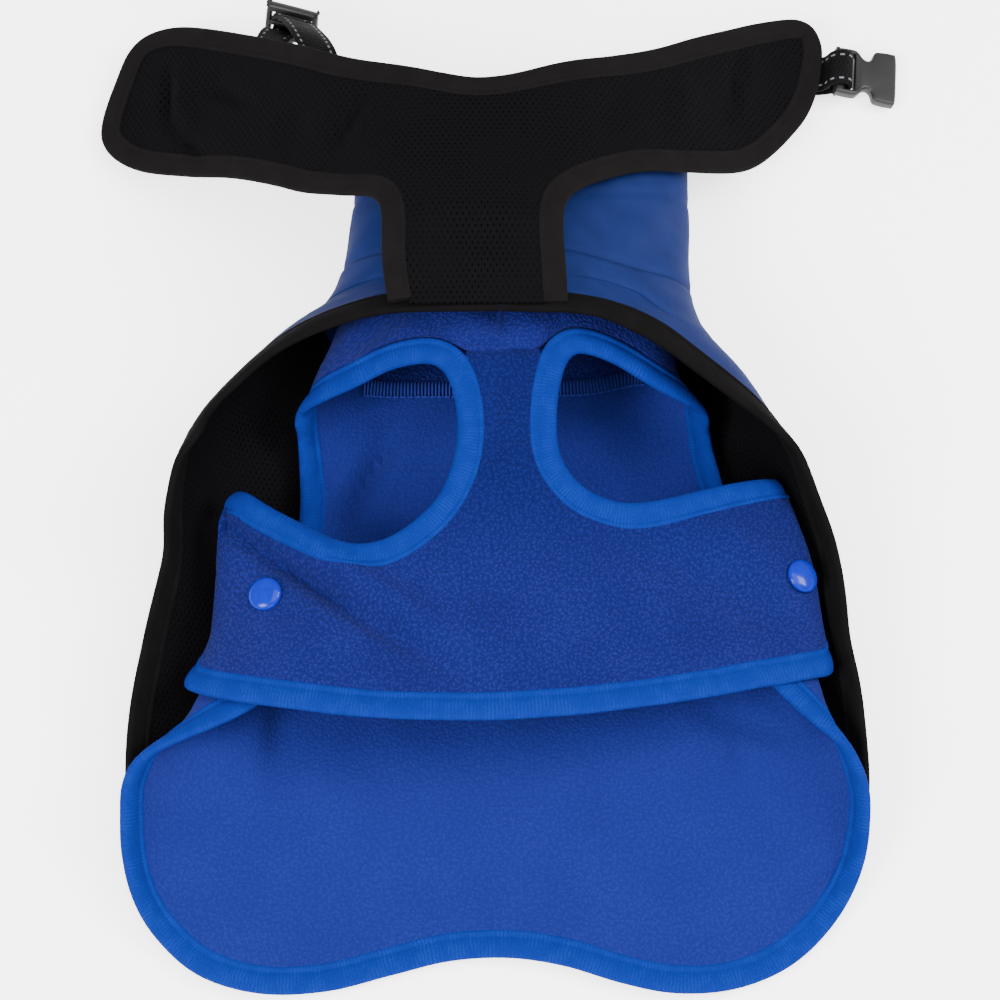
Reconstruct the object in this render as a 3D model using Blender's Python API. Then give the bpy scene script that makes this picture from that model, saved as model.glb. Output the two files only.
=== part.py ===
"""Dog winter coat, laid open on its back with a fleece vest buttoned inside it.

Millimetres in the tables, metres in the scene, +Z up. The table is the plane z = 0, the head end points
to +Y and the tail end to -Y, and the origin is under the middle of the coat, where it rests.

A garment that was filled out and laid down keeps a hollow form: at each y its cross-section is flat below,
round at the sides and crowned above. Every panel is a flat cut, drawn as (s, y), where s is the distance
along the cross-section from the middle of the back, to the right. It is laid on that form as a wall.
"""

import math

import bmesh
import bpy
import numpy as np
from mathutils import Vector
from mathutils.geometry import delaunay_2d_cdt

MM = 0.001
MIDDLE = (0.3, 5.65, 0.0)  # the middle of the whole coat in the tables' millimetres: the scene's origin

# ---------------------------------------------------------------- driving dimensions, millimetres
SEAM_GAP = 0.3
SOFTSHELL = 1.3
NET_LINING = 1.0
COAT_WALL = SOFTSHELL + SEAM_GAP + NET_LINING
TAPE_WIDTH = 9.5
TAPE_WIDTH_FLAP = 8.5
TAPE_THICK = 3.0
FLEECE = 2.4
RIB_WIDTH = 9.2
RIB_THICK = 3.4
VEST_FLOOR = 3.6
TUCK = 6.0
WEBBING_WIDTH = 15.0
WEBBING_THICK = 1.4
SNAP_DIAMETER = 12.4
SNAP_THICK = 2.2
COLLAR_WALL = 2.2
COLLAR_AROUND = 48
COLLAR_TOP_Y = 135.0
VEST_COLLAR_AROUND = 44
VEST_COLLAR_TOP_Y = 96.0

# ---------------------------------------------------------------- the forms, a row for each section
SECTION = ("y", "flat_l", "reach_l", "over_l", "flat_r", "reach_r", "over_r", "side", "top")
COAT_SECTIONS = (
    (-200, 112, 146, 146, 112, 144, 144, 22, 60),
    (-165, 110, 143.5, 143.5, 110, 142, 142, 26, 64),
    (-141, 106, 143, 143, 108, 140.5, 140.5, 29, 66),
    (-120, 96, 141, 141, 100, 138.5, 138.5, 35, 68),
    (-90, 84, 139, 139, 92, 134.5, 134.5, 44, 70),
    (-60, 76, 136.5, 136.5, 88, 131, 131, 52, 72),
    (-30, 72, 128, 128, 84, 124, 124, 52, 72),
    (-12, 69, 120.5, 120.5, 81, 115, 115, 46, 69),
    (4, 65, 115, 115, 76, 107.5, 107.5, 41, 66),
    (20, 59, 108.5, 108.5, 68, 98, 98, 36, 65),
    (35, 51, 97.5, 97.5, 58, 89.5, 89.5, 32, 66),
    (48, 44, 86, 86, 50.5, 79.5, 79.5, 31, 66),
    (57, 40, 76, 76, 47.5, 73.5, 73.5, 30, 62.5),
    (66, 35, 64, 64, 46, 71, 71, 29.5, 60),
    (75, 32.5, 59.5, 59.5, 45.8, 70.8, 70.8, 29, 59),
    (100, 30.5, 56, 56, 45.8, 70.6, 70.6, 28, 57.5),
    (140, 30, 54.5, 54.5, 46, 70.5, 70.5, 27, 55.5),
)
VEST_SECTIONS = (
    (-200, 112, 141.8, 141.8, 112, 139.8, 139.8, 18.4, 42),
    (-165, 110, 138.8, 138.8, 110, 136.8, 136.8, 22.4, 42),
    (-141, 106, 137.8, 137.8, 108, 134.8, 134.8, 25.4, 42),
    (-120, 96, 135.8, 135.8, 100, 132.8, 132.8, 31.4, 42),
    (-105, 86, 128, 128, 92, 128, 128, 26, 42),
    (-92, 78, 117, 117, 86, 123, 123, 22, 42),
    (-80, 70, 112, 112, 80, 120, 120, 20.5, 42),
    (-60, 62, 104, 104, 74, 116.5, 116.5, 20, 42),
    (-40, 56, 103, 103, 68, 114, 114, 20, 42.5),
    (-32, 53.5, 102, 103, 65, 111, 113, 20.5, 43),
    (-22, 50, 90, 103, 60, 98, 110.5, 21, 43.5),
    (-13, 48, 83, 100.5, 57.5, 92.5, 108.3, 19.5, 44.3),
    (-3, 48.5, 79.5, 95.5, 57, 88.5, 103.8, 15, 45.4),
    (8, 48.5, 78.5, 88, 55.5, 85, 96, 13, 46.7),
    (18, 46, 76, 81, 51.5, 80, 86, 15, 47.9),
    (28, 42, 71.5, 73, 45.5, 71.5, 73.5, 22, 48.7),
    (40, 37, 66, 66, 40, 65, 65, 27, 49.5),
    (60, 33, 58, 58, 40, 63, 63, 26, 49),
    (75, 30, 52, 52, 40, 63.5, 63.5, 25, 48),
    (100, 28, 49, 49, 40, 63, 63, 24, 46.5),
)


def smooth(x, xs, ys):
    """Smooth values between the rows of a table: cubic, without overshoot between two rows."""
    step = np.diff(xs)
    slope = np.diff(ys) / step
    tangent = np.empty_like(ys)
    tangent[1:-1] = np.where(
        slope[:-1] * slope[1:] > 0,
        2 * slope[:-1] * slope[1:] / (slope[:-1] + slope[1:] + 1e-12),
        0,
    )
    tangent[0] = slope[0]
    tangent[-1] = slope[-1]
    i = np.clip(np.searchsorted(xs, x) - 1, 0, len(xs) - 2)
    t = np.clip((x - xs[i]) / step[i], 0, 1)
    return (
        (1 + 2 * t) * (1 - t) ** 2 * ys[i]
        + t * (1 - t) ** 2 * step[i] * tangent[i]
        + t * t * (3 - 2 * t) * ys[i + 1]
        - t * t * (1 - t) * step[i] * tangent[i + 1]
    )


def ease(t):
    """0 below 0, 1 above 1, and a smooth step between."""
    t = np.clip(t, 0, 1)
    return t * t * (3 - 2 * t)


class Form:
    """A hollow form of cross-sections, on which cloth is laid by (s, y) and a depth towards its inside."""

    STEPS = 40

    def __init__(self, sections, floor):
        self.table = np.array(sections, float)
        self.floor = floor

    def column(self, name, y):
        k = SECTION.index(name)
        return smooth(y, self.table[:, 0], self.table[:, k])

    def section(self, y, right):
        """Half a cross-section at each y as points (x, z), with the length along it."""
        flat = np.where(right, self.column("flat_r", y), self.column("flat_l", y))[:, None]
        reach = np.where(right, self.column("reach_r", y), self.column("reach_l", y))[:, None]
        over = np.where(right, self.column("over_r", y), self.column("over_l", y))[:, None]
        side = self.column("side", y)[:, None]
        top = self.column("top", y)[:, None]
        turn = np.linspace(0, math.pi / 2, self.STEPS)[None, :]
        x = np.concatenate(
            [0 * flat, flat + (reach - flat) * np.sin(turn), over * np.cos(turn[:, 1:])], axis=1
        )
        z = np.concatenate(
            [0 * flat, side * (1 - np.cos(turn)), side + (top - side) * np.sin(turn[:, 1:])], axis=1
        )
        step = np.hypot(np.diff(x, axis=1), np.diff(z, axis=1))
        along = np.concatenate([0 * flat, np.cumsum(step, axis=1)], axis=1)
        return x, z, along

    def half_girth(self, y, right=True):
        """The length of half a cross-section, from the middle of the back to the middle of the belly."""
        y = np.atleast_1d(np.asarray(y, float))
        return self.section(y, np.full(y.shape, right))[2][:, -1]

    def surface(self, s, y):
        """Points at (s, y). Beyond the middle of the belly, s goes on down the other side."""
        s, y = np.broadcast_arrays(np.asarray(s, float), np.asarray(y, float))
        girth_l, girth_r = self.half_girth(y, False), self.half_girth(y, True)
        around = girth_r + girth_l
        s = np.where(s > girth_r, s - around, np.where(s < -girth_l, s + around, s))
        right = s >= 0
        x, z, along = self.section(y, right)
        want = np.minimum(np.abs(s), along[:, -1] - 1e-9)[:, None]
        i = np.clip((along <= want).sum(axis=1) - 1, 0, along.shape[1] - 2)[:, None]
        before, after = np.take_along_axis(along, i, 1), np.take_along_axis(along, i + 1, 1)
        t = (want - before) / np.maximum(after - before, 1e-9)

        def between(values):
            low, high = np.take_along_axis(values, i, 1), np.take_along_axis(values, i + 1, 1)
            return (low + (high - low) * t)[:, 0]

        return np.stack([np.where(right, 1, -1) * between(x), y, self.floor + between(z)], axis=1)

    def place(self, s, y, depth=0.0):
        """Points of the form at (s, y), moved depth towards its inside."""
        return moved_in(self.surface, s, y, depth)


def moved_in(surface, s, y, depth, step=1.0):
    s, y = np.asarray(s, float), np.asarray(y, float)
    along_s = surface(s + step, y) - surface(s - step, y)
    along_y = surface(s, y + step) - surface(s, y - step)
    inward = np.cross(along_s, along_y)
    inward /= np.linalg.norm(inward, axis=1, keepdims=True)
    return surface(s, y) + inward * np.reshape(depth, (-1, 1))


class FlapForm:
    """The belly flap: a stem that rises from the chest and rolls over the collar, and two drooping wings."""

    MIDDLE = -8.0
    RISE = np.array(  # y, height of the middle
        [(44, 65.6), (50, 65.8), (56, 66.9), (62, 69.2), (70, 72), (78, 73.5), (88, 72.5), (104, 67.5),
         (128, 62.5), (210, 59)], float
    )
    DROOP_LEFT = np.array(  # distance from the middle, share of the way down to the table
        [(-30, 0), (20, 0), (50, 0.13), (80, 0.39), (110, 0.68), (136, 0.91), (156, 1.0), (200, 1.0)], float
    )
    DROOP_RIGHT = np.array(
        [(-30, 0), (20, 0), (50, 0.15), (75, 0.38), (100, 0.68), (120, 0.89), (142, 1.0), (200, 1.0)], float
    )
    TIP_LEFT, TIP_RIGHT = 1.2, 6.0

    def surface(self, x, y):
        x, y = np.broadcast_arrays(np.asarray(x, float), np.asarray(y, float))
        crest = smooth(y, self.RISE[:, 0], self.RISE[:, 1])
        out = x - self.MIDDLE
        left = smooth(np.abs(out), self.DROOP_LEFT[:, 0], self.DROOP_LEFT[:, 1])
        right = smooth(np.abs(out), self.DROOP_RIGHT[:, 0], self.DROOP_RIGHT[:, 1])
        z = np.where(
            out < 0,
            crest - (crest - self.TIP_LEFT) * left,
            crest - (crest - self.TIP_RIGHT) * right,
        )
        return np.stack([x, y, z], axis=1)

    def place(self, x, y, depth=0.0):
        """Points of the flap at (x, y), moved depth upwards from its lower face."""
        return moved_in(self.surface, x, y, depth)


COAT = Form(COAT_SECTIONS, 0.0)
VEST = Form(VEST_SECTIONS, VEST_FLOOR)
FLAP = FlapForm()


# ---------------------------------------------------------------- cut lines, millimetres
# A row for each change of direction. "s" runs from the middle of the back round to the middle of the belly,
# "t" from the middle of the belly outwards, and "x" is measured straight across the belly side. All three are
# positive to the right.
CHEST_EDGE_RIGHT = (  # x, y: the coat's chest end, from the middle of the belly to the side
    (0, 47), (25, 47), (38, 46), (53, 40.5), (64, 34), (72, 28.5), (85, 20.5), (97, 12.5),
)
CHEST_EDGE_LEFT = (
    (-110, 6), (-106, 16), (-99, 26), (-86, 37), (-72, 42.5), (-58, 46), (-42, 48.5), (-20, 47.5), (0, 47),
)
COAT_EDGE = (  # s, y: the coat's sides and tail, from right to left
    (137, 2), (136, -16), (137, -43), (139, -72), (138.5, -97), (137, -114), (132, -129), (123, -143),
    (110, -155), (95, -166), (77, -174), (60, -176), (42, -171), (22, -165), (5, -162.5), (-20, -164),
    (-40, -169), (-62, -175.5), (-80, -176.5), (-95, -173), (-109, -166), (-122, -154), (-130, -141),
    (-136.5, -121), (-139, -97), (-136, -64), (-133, -36), (-139, -14),
)
NECK_SEAM_LEFT = (  # share of half the girth, from the back to the belly, and y
    (0, 54), (0.30, 57), (0.48, 63), (0.56, 64.5), (0.66, 66.5), (0.75, 67), (0.86, 65.5), (1, 64.5),
)
NECK_SEAM_RIGHT = (
    (0, 54), (0.30, 51.5), (0.50, 48.5), (0.60, 47.5), (0.66, 53), (0.71, 60), (0.78, 63.5), (0.86, 64.5),
    (1, 64.5),
)
COLLAR_SEAM_LEFT = ((0, 75), (0.30, 77), (0.46, 79), (0.64, 78.5), (0.75, 78.5), (1, 77))
COLLAR_SEAM_RIGHT = ((0, 75), (0.30, 72), (0.50, 70.5), (0.67, 71), (0.75, 72.5), (0.86, 75.5), (1, 77))
VEST_EDGE = (  # s, y: the vest's back panel, from its left armhole round tab, tail and tab to the right one
    (-75.5, -20.5), (-78, -32), (-86, -42), (-101, -46.5), (-118, -47), (-134, -46.5), (-147, -48.5),
    (-157, -56), (-161, -68), (-160, -80), (-156, -91), (-150.3, -101), (-145, -112), (-141, -124),
    (-137.5, -139), (-131, -155), (-120, -169), (-104, -181.5), (-83, -187.5), (-60, -186.5), (-38, -181),
    (-18, -176), (3, -174.7), (22, -177.5), (42, -183.5), (61, -187.2), (81, -186), (100, -178.5),
    (115, -165.5), (127.5, -149), (136, -131.5), (140.5, -116), (144, -103), (149, -91), (154, -80.5),
    (157.5, -68), (155, -55), (145, -48), (132, -45.5), (117, -44.5), (103, -38), (92, -25), (88, -8.5),
)
ARMHOLE_LEFT = (  # the seam of the armhole's tape: s, y on the back panel and t, y on the front panel
    ("s", -66, -19.5), ("s", -66, -9), ("s", -66.3, 4), ("s", -67.5, 14), ("s", -71, 23), ("s", -78, 29.5),
    ("s", -88, 32.8), ("t", -56, 36), ("t", -44, 40.5), ("t", -32, 42.5), ("t", -23, 42), ("t", -16, 38.5),
    ("t", -10.5, 31.5), ("t", -7.2, 21), ("t", -6, 9.5), ("t", -6.6, -1), ("t", -9.3, -12),
    ("t", -14.3, -22), ("t", -21.5, -30.5), ("t", -30, -37.3), ("t", -40, -42), ("t", -52, -43.3),
    ("t", -63, -40.5), ("t", -76, -33.3), ("t", -91, -24.8), ("t", -100, -20.5), ("t", -107, -19),
)
ARMHOLE_RIGHT = (
    ("s", 76.5, -5.5), ("s", 74.3, 3.5), ("s", 72.5, 13), ("s", 72.5, 21), ("s", 76, 27.5), ("s", 84, 31.7),
    ("s", 94, 35.2), ("t", 53, 39.5), ("t", 46, 43), ("t", 38, 45.8), ("t", 31, 47), ("t", 25, 46.3),
    ("t", 18.5, 42), ("t", 14.5, 34), ("t", 12, 23), ("t", 11, 11.5), ("t", 11.6, 0), ("t", 15.3, -10.5),
    ("t", 22.5, -19.5), ("t", 32, -25.5), ("t", 43, -28.3), ("t", 55, -27.5), ("t", 74, -22), ("t", 91, -16),
    ("t", 109, -9.8),
)
BAND_EDGE = (  # t, y: the belly band's free edge, from its left upper corner along the belly to the right one
    (-121, -36), (-123.5, -43), (-125.5, -51), (-126, -60), (-125, -70), (-120, -79),
    (-109, -85.5), (-96, -89.5), (-83, -92.5), (-69, -95), (-42, -99), (-17, -100), (7, -99.5), (34, -97),
    (70, -91), (98, -84), (115, -79.5), (126, -75), (132, -67), (133.5, -56), (131.5, -45), (128, -35),
)
VEST_NECK_LEFT = (  # share of half the girth and y, where the vest's collar meets body and armhole tape
    (0, 42.6), (0.33, 42.6), (0.40, 40.6), (0.46, 35.8), (0.51, 32.6), (0.59, 34.4), (0.65, 36.8),
    (0.714, 41.6), (0.79, 43.6), (0.85, 43.1), (0.895, 40), (0.93, 37.6), (1, 37.4),
)
VEST_NECK_RIGHT = (
    (0, 42.6), (0.2, 43.3), (0.335, 46), (0.41, 44.2), (0.465, 38.6), (0.53, 34.8), (0.62, 37), (0.65, 40.6),
    (0.70, 44.4), (0.75, 46.8), (0.79, 48), (0.83, 47.6), (0.87, 44.4), (0.905, 39.5), (0.935, 37.6),
    (1, 37.4),
)
FLAP_EDGE = (  # x, y: from the right foot of the stem round both wings to its left foot
    (24, 50.5), (23, 66), (22.5, 81), (26, 91), (36, 100), (51, 108.5), (70, 115), (88, 122), (98, 129),
    (109, 142), (118, 155), (123, 168), (126, 184), (125, 192), (121, 197.5), (113, 198), (98, 191),
    (75, 176.5), (52, 162), (24, 151), (7, 145.5), (-7, 143.5), (-19, 145), (-37, 149), (-57, 156.5),
    (-75, 167), (-95, 178), (-115, 188), (-128, 192.5), (-138, 192), (-145, 186), (-150, 173),
    (-154, 158), (-154, 148), (-148, 139), (-137, 131.5), (-119, 124), (-102, 117.5), (-84, 108),
    (-72, 100.5), (-58, 94.5), (-47, 90.5), (-42.5, 84), (-42, 66), (-40, 50.5),
)
FRONT_NECK_Y = 36.8

# ---------------------------------------------------------------- buckle halves and their webbing
# Outlines: distance from the middle of the webbing's bar along the buckle, and across it.
SOCKET_THICK, PLUG_THICK = 4.4, 3.6
SOCKET_OUTLINE = (
    (-1.8, -9), (-0.8, -10.2), (5.5, -10.4), (7.5, -9.3), (9.2, -7.2), (11, -6.4), (12.6, -7.6), (13.6, -10.4),
    (15, -11.4), (20.5, -11.7), (22.6, -10.4), (22.9, 0), (22.6, 10.4), (20.5, 11.7), (15, 11.4), (13.6, 10.4),
    (12.6, 7.6), (11, 6.4), (9.2, 7.2), (7.5, 9.3), (5.5, 10.4), (-0.8, 10.2), (-1.8, 9),
)
SOCKET_AT = (132.6, 177.3, 8.2)
SOCKET_LOOP = (
    (111, 2.9), (118, 2.9), (123, 2.9), (127, 3.4), (130, 4.2), (134, 4.6), (136.4, 5.8), (137.2, 8.2),
    (136.6, 10.8), (134.4, 12.1), (131.2, 12.0), (129.1, 10.4), (128.0, 8.0), (126.2, 6.2), (122.5, 5.6), (118, 5.5),
    (111, 5.5),
)
PLUG_OUTLINE = (
    (-1.7, -9), (-0.7, -10.2), (12, -10.2), (13.2, -8.8), (17, -8.8), (21.6, -7.6), (23.6, -5.6), (22.6, -4.6),
    (18.4, -5.4), (14.4, -5.2), (13.6, -1.6), (20, -1.3), (21, 0), (20, 1.3), (13.6, 1.6), (14.4, 5.2), (18.4, 5.4),
    (22.6, 4.6), (23.6, 5.6), (21.6, 7.6), (17, 8.8), (13.2, 8.8), (12, 10.2), (-0.7, 10.2), (-1.7, 9),
)
PLUG_AT = (-80.4, 194.7, 24.5)
PLUG_LOOP_LEFT = ((-95.5, 163, 30.6), (-91, 170, 33.0), (-87.5, 177, 32.4), (-84.5, 184, 26))
PLUG_LOOP_RIGHT = ((-78.5, 187, 29.5), (-74, 178, 37.5), (-69.5, 167.5, 43.6), (-67, 160, 45.4))
SNAPS = (("snap_left", -84, -51), ("snap_right", 110, -42))  # t, y


# ---------------------------------------------------------------- surfaces in one pair of coordinates
def coat_under(s, y, depth=0.0):
    return COAT.place(s, y, depth)


def over(form):
    """The same form, with t from the middle of the belly in place of s from the middle of the back."""

    def place(t, y, depth=0.0):
        t, y = np.broadcast_arrays(np.asarray(t, float), np.asarray(y, float))
        girth = np.where(t >= 0, form.half_girth(y, True), form.half_girth(y, False))
        return form.place(np.where(t >= 0, 1, -1) * (girth - np.abs(t)), y, depth)

    return place


def girth_of(form, s, y):
    s, y = np.asarray(s, float), np.asarray(y, float)
    return np.where(s >= 0, form.half_girth(y, True), form.half_girth(y, False))


def s_from_t(form, t, y):
    t, y = np.asarray(t, float), np.asarray(y, float)
    return np.where(t >= 0, 1, -1) * (girth_of(form, t, y) - np.abs(t))


def s_from_x(form, x, y):
    """The belly side's point at x, given as its s."""
    x, y = np.asarray(x, float), np.asarray(y, float)
    tops = np.stack([form.section(y, x >= 0)[k] for k in (0, 2)])[:, :, form.STEPS:]
    return np.array([np.sign(a) * np.interp(abs(a), row[::-1], far[::-1]) if a else far[-1]
                     for a, row, far in zip(x, tops[0], tops[1])])


def vest_back(s, y, depth=0.0):
    """The vest's back panel. Its two tabs lie TUCK further in, where they pass under the belly band.

    The whole side draws in there, and towards the height at which it is widest.
    """
    s, y = np.broadcast_arrays(np.asarray(s, float), np.asarray(y, float))
    p = VEST.place(s, y, depth)
    sink = TUCK * ease((np.abs(s) - 76) / 18) * ease((y + 124) / 27) * ease((-8 - y) / 10)
    reach = np.where(s >= 0, VEST.column("reach_r", y), VEST.column("reach_l", y))
    height = (VEST.surface(s, y)[:, 2] - VEST_FLOOR) / VEST.column("side", y)
    p[:, 0] -= sink * np.clip(p[:, 0] / reach, -1, 1)
    p[:, 2] += sink * np.clip(1 - height, -1, 1)
    return p


vest_front = over(VEST)


# ---------------------------------------------------------------- lines
def curve(points, spacing, closed=False):
    """Even steps along a smooth (Catmull-Rom) line through the points."""
    p = np.array(points, float)
    before, after = (p[-1:], p[:2]) if closed else (2 * p[:1] - p[1:2], 2 * p[-1:] - p[-2:-1])
    ring = np.concatenate([before, p, after])
    u = np.linspace(0, 1, 24, endpoint=False)[:, None]
    pieces = []
    for a, b, c, d in zip(ring[:-3], ring[1:-2], ring[2:-1], ring[3:]):
        square, cube = 2 * a - 5 * b + 4 * c - d, 3 * b - a - 3 * c + d
        pieces.append(b + 0.5 * (u * (c - a) + u**2 * square + u**3 * cube))
    dense = np.concatenate(pieces + [p[:1] if closed else p[-1:]])
    along = np.concatenate([[0], np.cumsum(np.linalg.norm(np.diff(dense, axis=0), axis=1))])
    count = max(2, round(along[-1] / spacing))
    want = np.linspace(0, along[-1], count + 1)
    line = np.stack([np.interp(want, along, column) for column in dense.T], axis=1)
    return line[:-1] if closed else line


def aside(place, line, distance, steps=4):
    """The line moved sideways on the cloth, to the left of its direction as seen from the depth side.

    It goes in short steps. Each one is square to the line in space, and is turned into (s, y) by the lengths
    and the angle that one unit of s and one unit of y have on the form at that point.
    """
    p = np.array(line, float)
    forward = np.gradient(place(p[:, 0], p[:, 1]), axis=0)
    e = 0.5
    for _ in range(steps):
        along_s = (place(p[:, 0] + e, p[:, 1]) - place(p[:, 0] - e, p[:, 1])) / (2 * e)
        along_y = (place(p[:, 0], p[:, 1] + e) - place(p[:, 0], p[:, 1] - e)) / (2 * e)
        side = np.cross(np.cross(along_s, along_y), forward)
        side /= np.linalg.norm(side, axis=1, keepdims=True)
        ss, sy, yy = (along_s**2).sum(1), (along_s * along_y).sum(1), (along_y**2).sum(1)
        a, b = (side * along_s).sum(1), (side * along_y).sum(1)
        across = np.stack([a * yy - b * sy, b * ss - a * sy], axis=1) / (ss * yy - sy * sy)[:, None]
        p += across * distance / steps
    return p


def thinned(line, least):
    """The line without the points that lie nearer than least to the one kept before them."""
    kept = [line[0]]
    for point in line[1:]:
        if np.linalg.norm(point - kept[-1]) >= least:
            kept.append(point)
    return np.array(kept)


# ---------------------------------------------------------------- solids
def material(name, colour, roughness):
    m = bpy.data.materials.new(name)
    m.use_nodes = True
    shader = m.node_tree.nodes["Principled BSDF"]
    shader.inputs["Base Color"].default_value = (*colour, 1)
    shader.inputs["Roughness"].default_value = roughness
    return m


def solid(name, points, faces, look):
    """One closed body from points in millimetres, with its faces turned outwards."""
    mesh = bpy.data.meshes.new(name)
    mesh.from_pydata(((np.asarray(points) - MIDDLE) * MM).tolist(), [], faces)
    shape = bmesh.new()
    shape.from_mesh(mesh)
    bmesh.ops.remove_doubles(shape, verts=shape.verts, dist=3e-5)
    bmesh.ops.recalc_face_normals(shape, faces=shape.faces)
    if shape.calc_volume(signed=True) < 0:
        bmesh.ops.reverse_faces(shape, faces=shape.faces)
    shape.to_mesh(mesh)
    shape.free()
    mesh.materials.append(look)
    item = bpy.data.objects.new(name, mesh)
    bpy.context.scene.collection.objects.link(item)
    return item


def boundary(faces):
    """The directed edges that only one triangle has."""
    edges = {}
    for f in faces:
        for a, b in zip(f, f[1:] + f[:1]):
            edges[(a, b)] = True
    return [(a, b) for a, b in edges if (b, a) not in edges]


def fill(outline, grid, margin):
    """Triangles of a flat outline, with a grid of points inside it that stays a margin off its edge."""
    o = np.array(outline, float)
    low, high = o.min(0), o.max(0)
    ga = np.arange(low[0] + grid[0] / 2, high[0], grid[0])
    gb = np.arange(low[1] + grid[1] / 2, high[1], grid[1])
    inner = np.stack(np.meshgrid(ga, gb), axis=-1).reshape(-1, 2)
    a, b = o, np.roll(o, -1, axis=0)
    run = b - a
    rel = inner[:, None] - a[None]
    t = np.clip((rel * run).sum(-1) / (run**2).sum(-1), 0, 1)
    far = np.linalg.norm(rel - t[..., None] * run, axis=-1).min(1) > margin
    crosses = (a[None, :, 1] > inner[:, None, 1]) != (b[None, :, 1] > inner[:, None, 1])
    slope = run[:, 0] / np.where(run[:, 1] == 0, 1, run[:, 1])
    at = a[None, :, 0] + (inner[:, None, 1] - a[None, :, 1]) * slope
    inside = (crosses & (inner[:, None, 0] < at)).sum(1) % 2 == 1
    points = np.concatenate([o, inner[far & inside]])
    edges = [(i, (i + 1) % len(o)) for i in range(len(o))]
    flat, _, tris, *_ = delaunay_2d_cdt([Vector(p) for p in points], edges, [], 1, 1e-5)
    return np.array([tuple(p) for p in flat]), [list(t) for t in tris]


def panel(name, place, outline, depths, look, grid=(11.0, 17.0), margin=5.0, joined=None):
    """A cloth wall on a form: the flat cut filled with triangles, laid at two depths, and closed round its rim.

    Rim edges for which joined(s, y) holds at both ends meet each other on the form, so they get no rim.
    """
    flat, tris = fill(outline, grid, margin)
    outer = place(flat[:, 0], flat[:, 1], depths[0])
    inner = place(flat[:, 0], flat[:, 1], depths[1])
    n = len(flat)
    faces = [t[::-1] for t in tris] + [[i + n for i in t] for t in tris]
    held = joined(flat[:, 0], flat[:, 1]) if joined else np.zeros(n, bool)
    faces += [[a, b, b + n, a + n] for a, b in boundary(tris) if not (held[a] and held[b])]
    return solid(name, np.concatenate([outer, inner]), faces, look)


def tape(name, place, line, width, depths, look, rounding=1.2, cut_on=None, ends=None):
    """Binding tape between an edge line and the line a width to its left (right if the width is negative).

    The widths are measured on cut_on, and ends gives the two end points that meet at the middle of the belly.
    """
    middle = sum(depths) / 2
    r = math.copysign(rounding, width)
    low, high = depths
    profile = ((0, middle), (r, low), (width - r, low), (width, middle), (width - r, high), (r, high))
    rings = []
    for distance, depth in profile:
        p = aside(cut_on or place, line, distance)
        if ends:
            p[0, 0], p[-1, 0] = ends(p[[0, -1], 1])
        rings.append(place(p[:, 0], p[:, 1], depth))
    points = np.stack(rings, axis=1)
    count, corners = points.shape[:2]
    faces = []
    for i in range(count - 1):
        for k in range(corners):
            m = (k + 1) % corners
            faces.append([i * corners + k, i * corners + m, (i + 1) * corners + m, (i + 1) * corners + k])
    faces += [list(range(corners))[::-1], [(count - 1) * corners + k for k in range(corners)]]
    return solid(name, points.reshape(-1, 3), faces, look)


def by_share(f, left, right):
    """A seam's y at each share of half the girth, from its tables for the left (f < 0) and the right."""
    left, right = np.array(left, float), np.array(right, float)
    share = np.abs(f)
    return np.where(f < 0, smooth(share, left[:, 0], left[:, 1]), smooth(share, right[:, 0], right[:, 1]))


def raised(seams, by):
    return tuple(tuple((f, y + by) for f, y in table) for table in seams)


def level(y):
    return (((0, y), (0.5, y), (1, y)),) * 2


def tube(name, form, lower, upper, depths, look, around=44, rows=4):
    """A closed band round the form between two seams, each a table of y by the share of half the girth."""
    f = np.linspace(-1, 1, around, endpoint=False)

    low, high = by_share(f, *lower), by_share(f, *upper)
    share = np.linspace(0, 1, rows + 1)[:, None]
    y = (low + (high - low) * share).ravel()
    s = np.tile(f, rows + 1)
    s = s * girth_of(form, s, y)
    points = np.concatenate([form.place(s, y, d) for d in depths])
    n = (rows + 1) * around
    faces = []
    for r in range(rows):
        for i in range(around):
            j = (i + 1) % around
            a, b, c, d = r * around + i, r * around + j, (r + 1) * around + j, (r + 1) * around + i
            faces += [[a, b, c, d], [d + n, c + n, b + n, a + n]]
    for i in range(around):
        j = (i + 1) % around
        top = rows * around
        faces += [[i, i + n, j + n, j], [top + i, top + j, top + j + n, top + i + n]]
    return solid(name, points, faces, look)


def strip(name, line, across, width, thick, look):
    """Webbing: a flat bar carried along a line in space, its width along the direction across."""
    p = np.array(line, float)
    across = np.array(across, float)
    across = across / np.linalg.norm(across, axis=-1, keepdims=True)
    forward = np.gradient(p, axis=0)
    forward /= np.linalg.norm(forward, axis=1, keepdims=True)
    up = np.cross(across, forward)
    up /= np.linalg.norm(up, axis=1, keepdims=True)
    corners = ((-1, -1), (1, -1), (1, 1), (-1, 1))
    points = np.stack(
        [p + a * width / 2 * np.broadcast_to(across, p.shape) + b * thick / 2 * up for a, b in corners], axis=1
    ).reshape(-1, 3)
    faces = [[0, 1, 2, 3]]
    for i in range(len(p) - 1):
        for k in range(4):
            m = (k + 1) % 4
            faces.append([i * 4 + k, (i + 1) * 4 + k, (i + 1) * 4 + m, i * 4 + m])
    last = (len(p) - 1) * 4
    faces.append([last + 3, last + 2, last + 1, last])
    return solid(name, points, faces, look)


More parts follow.
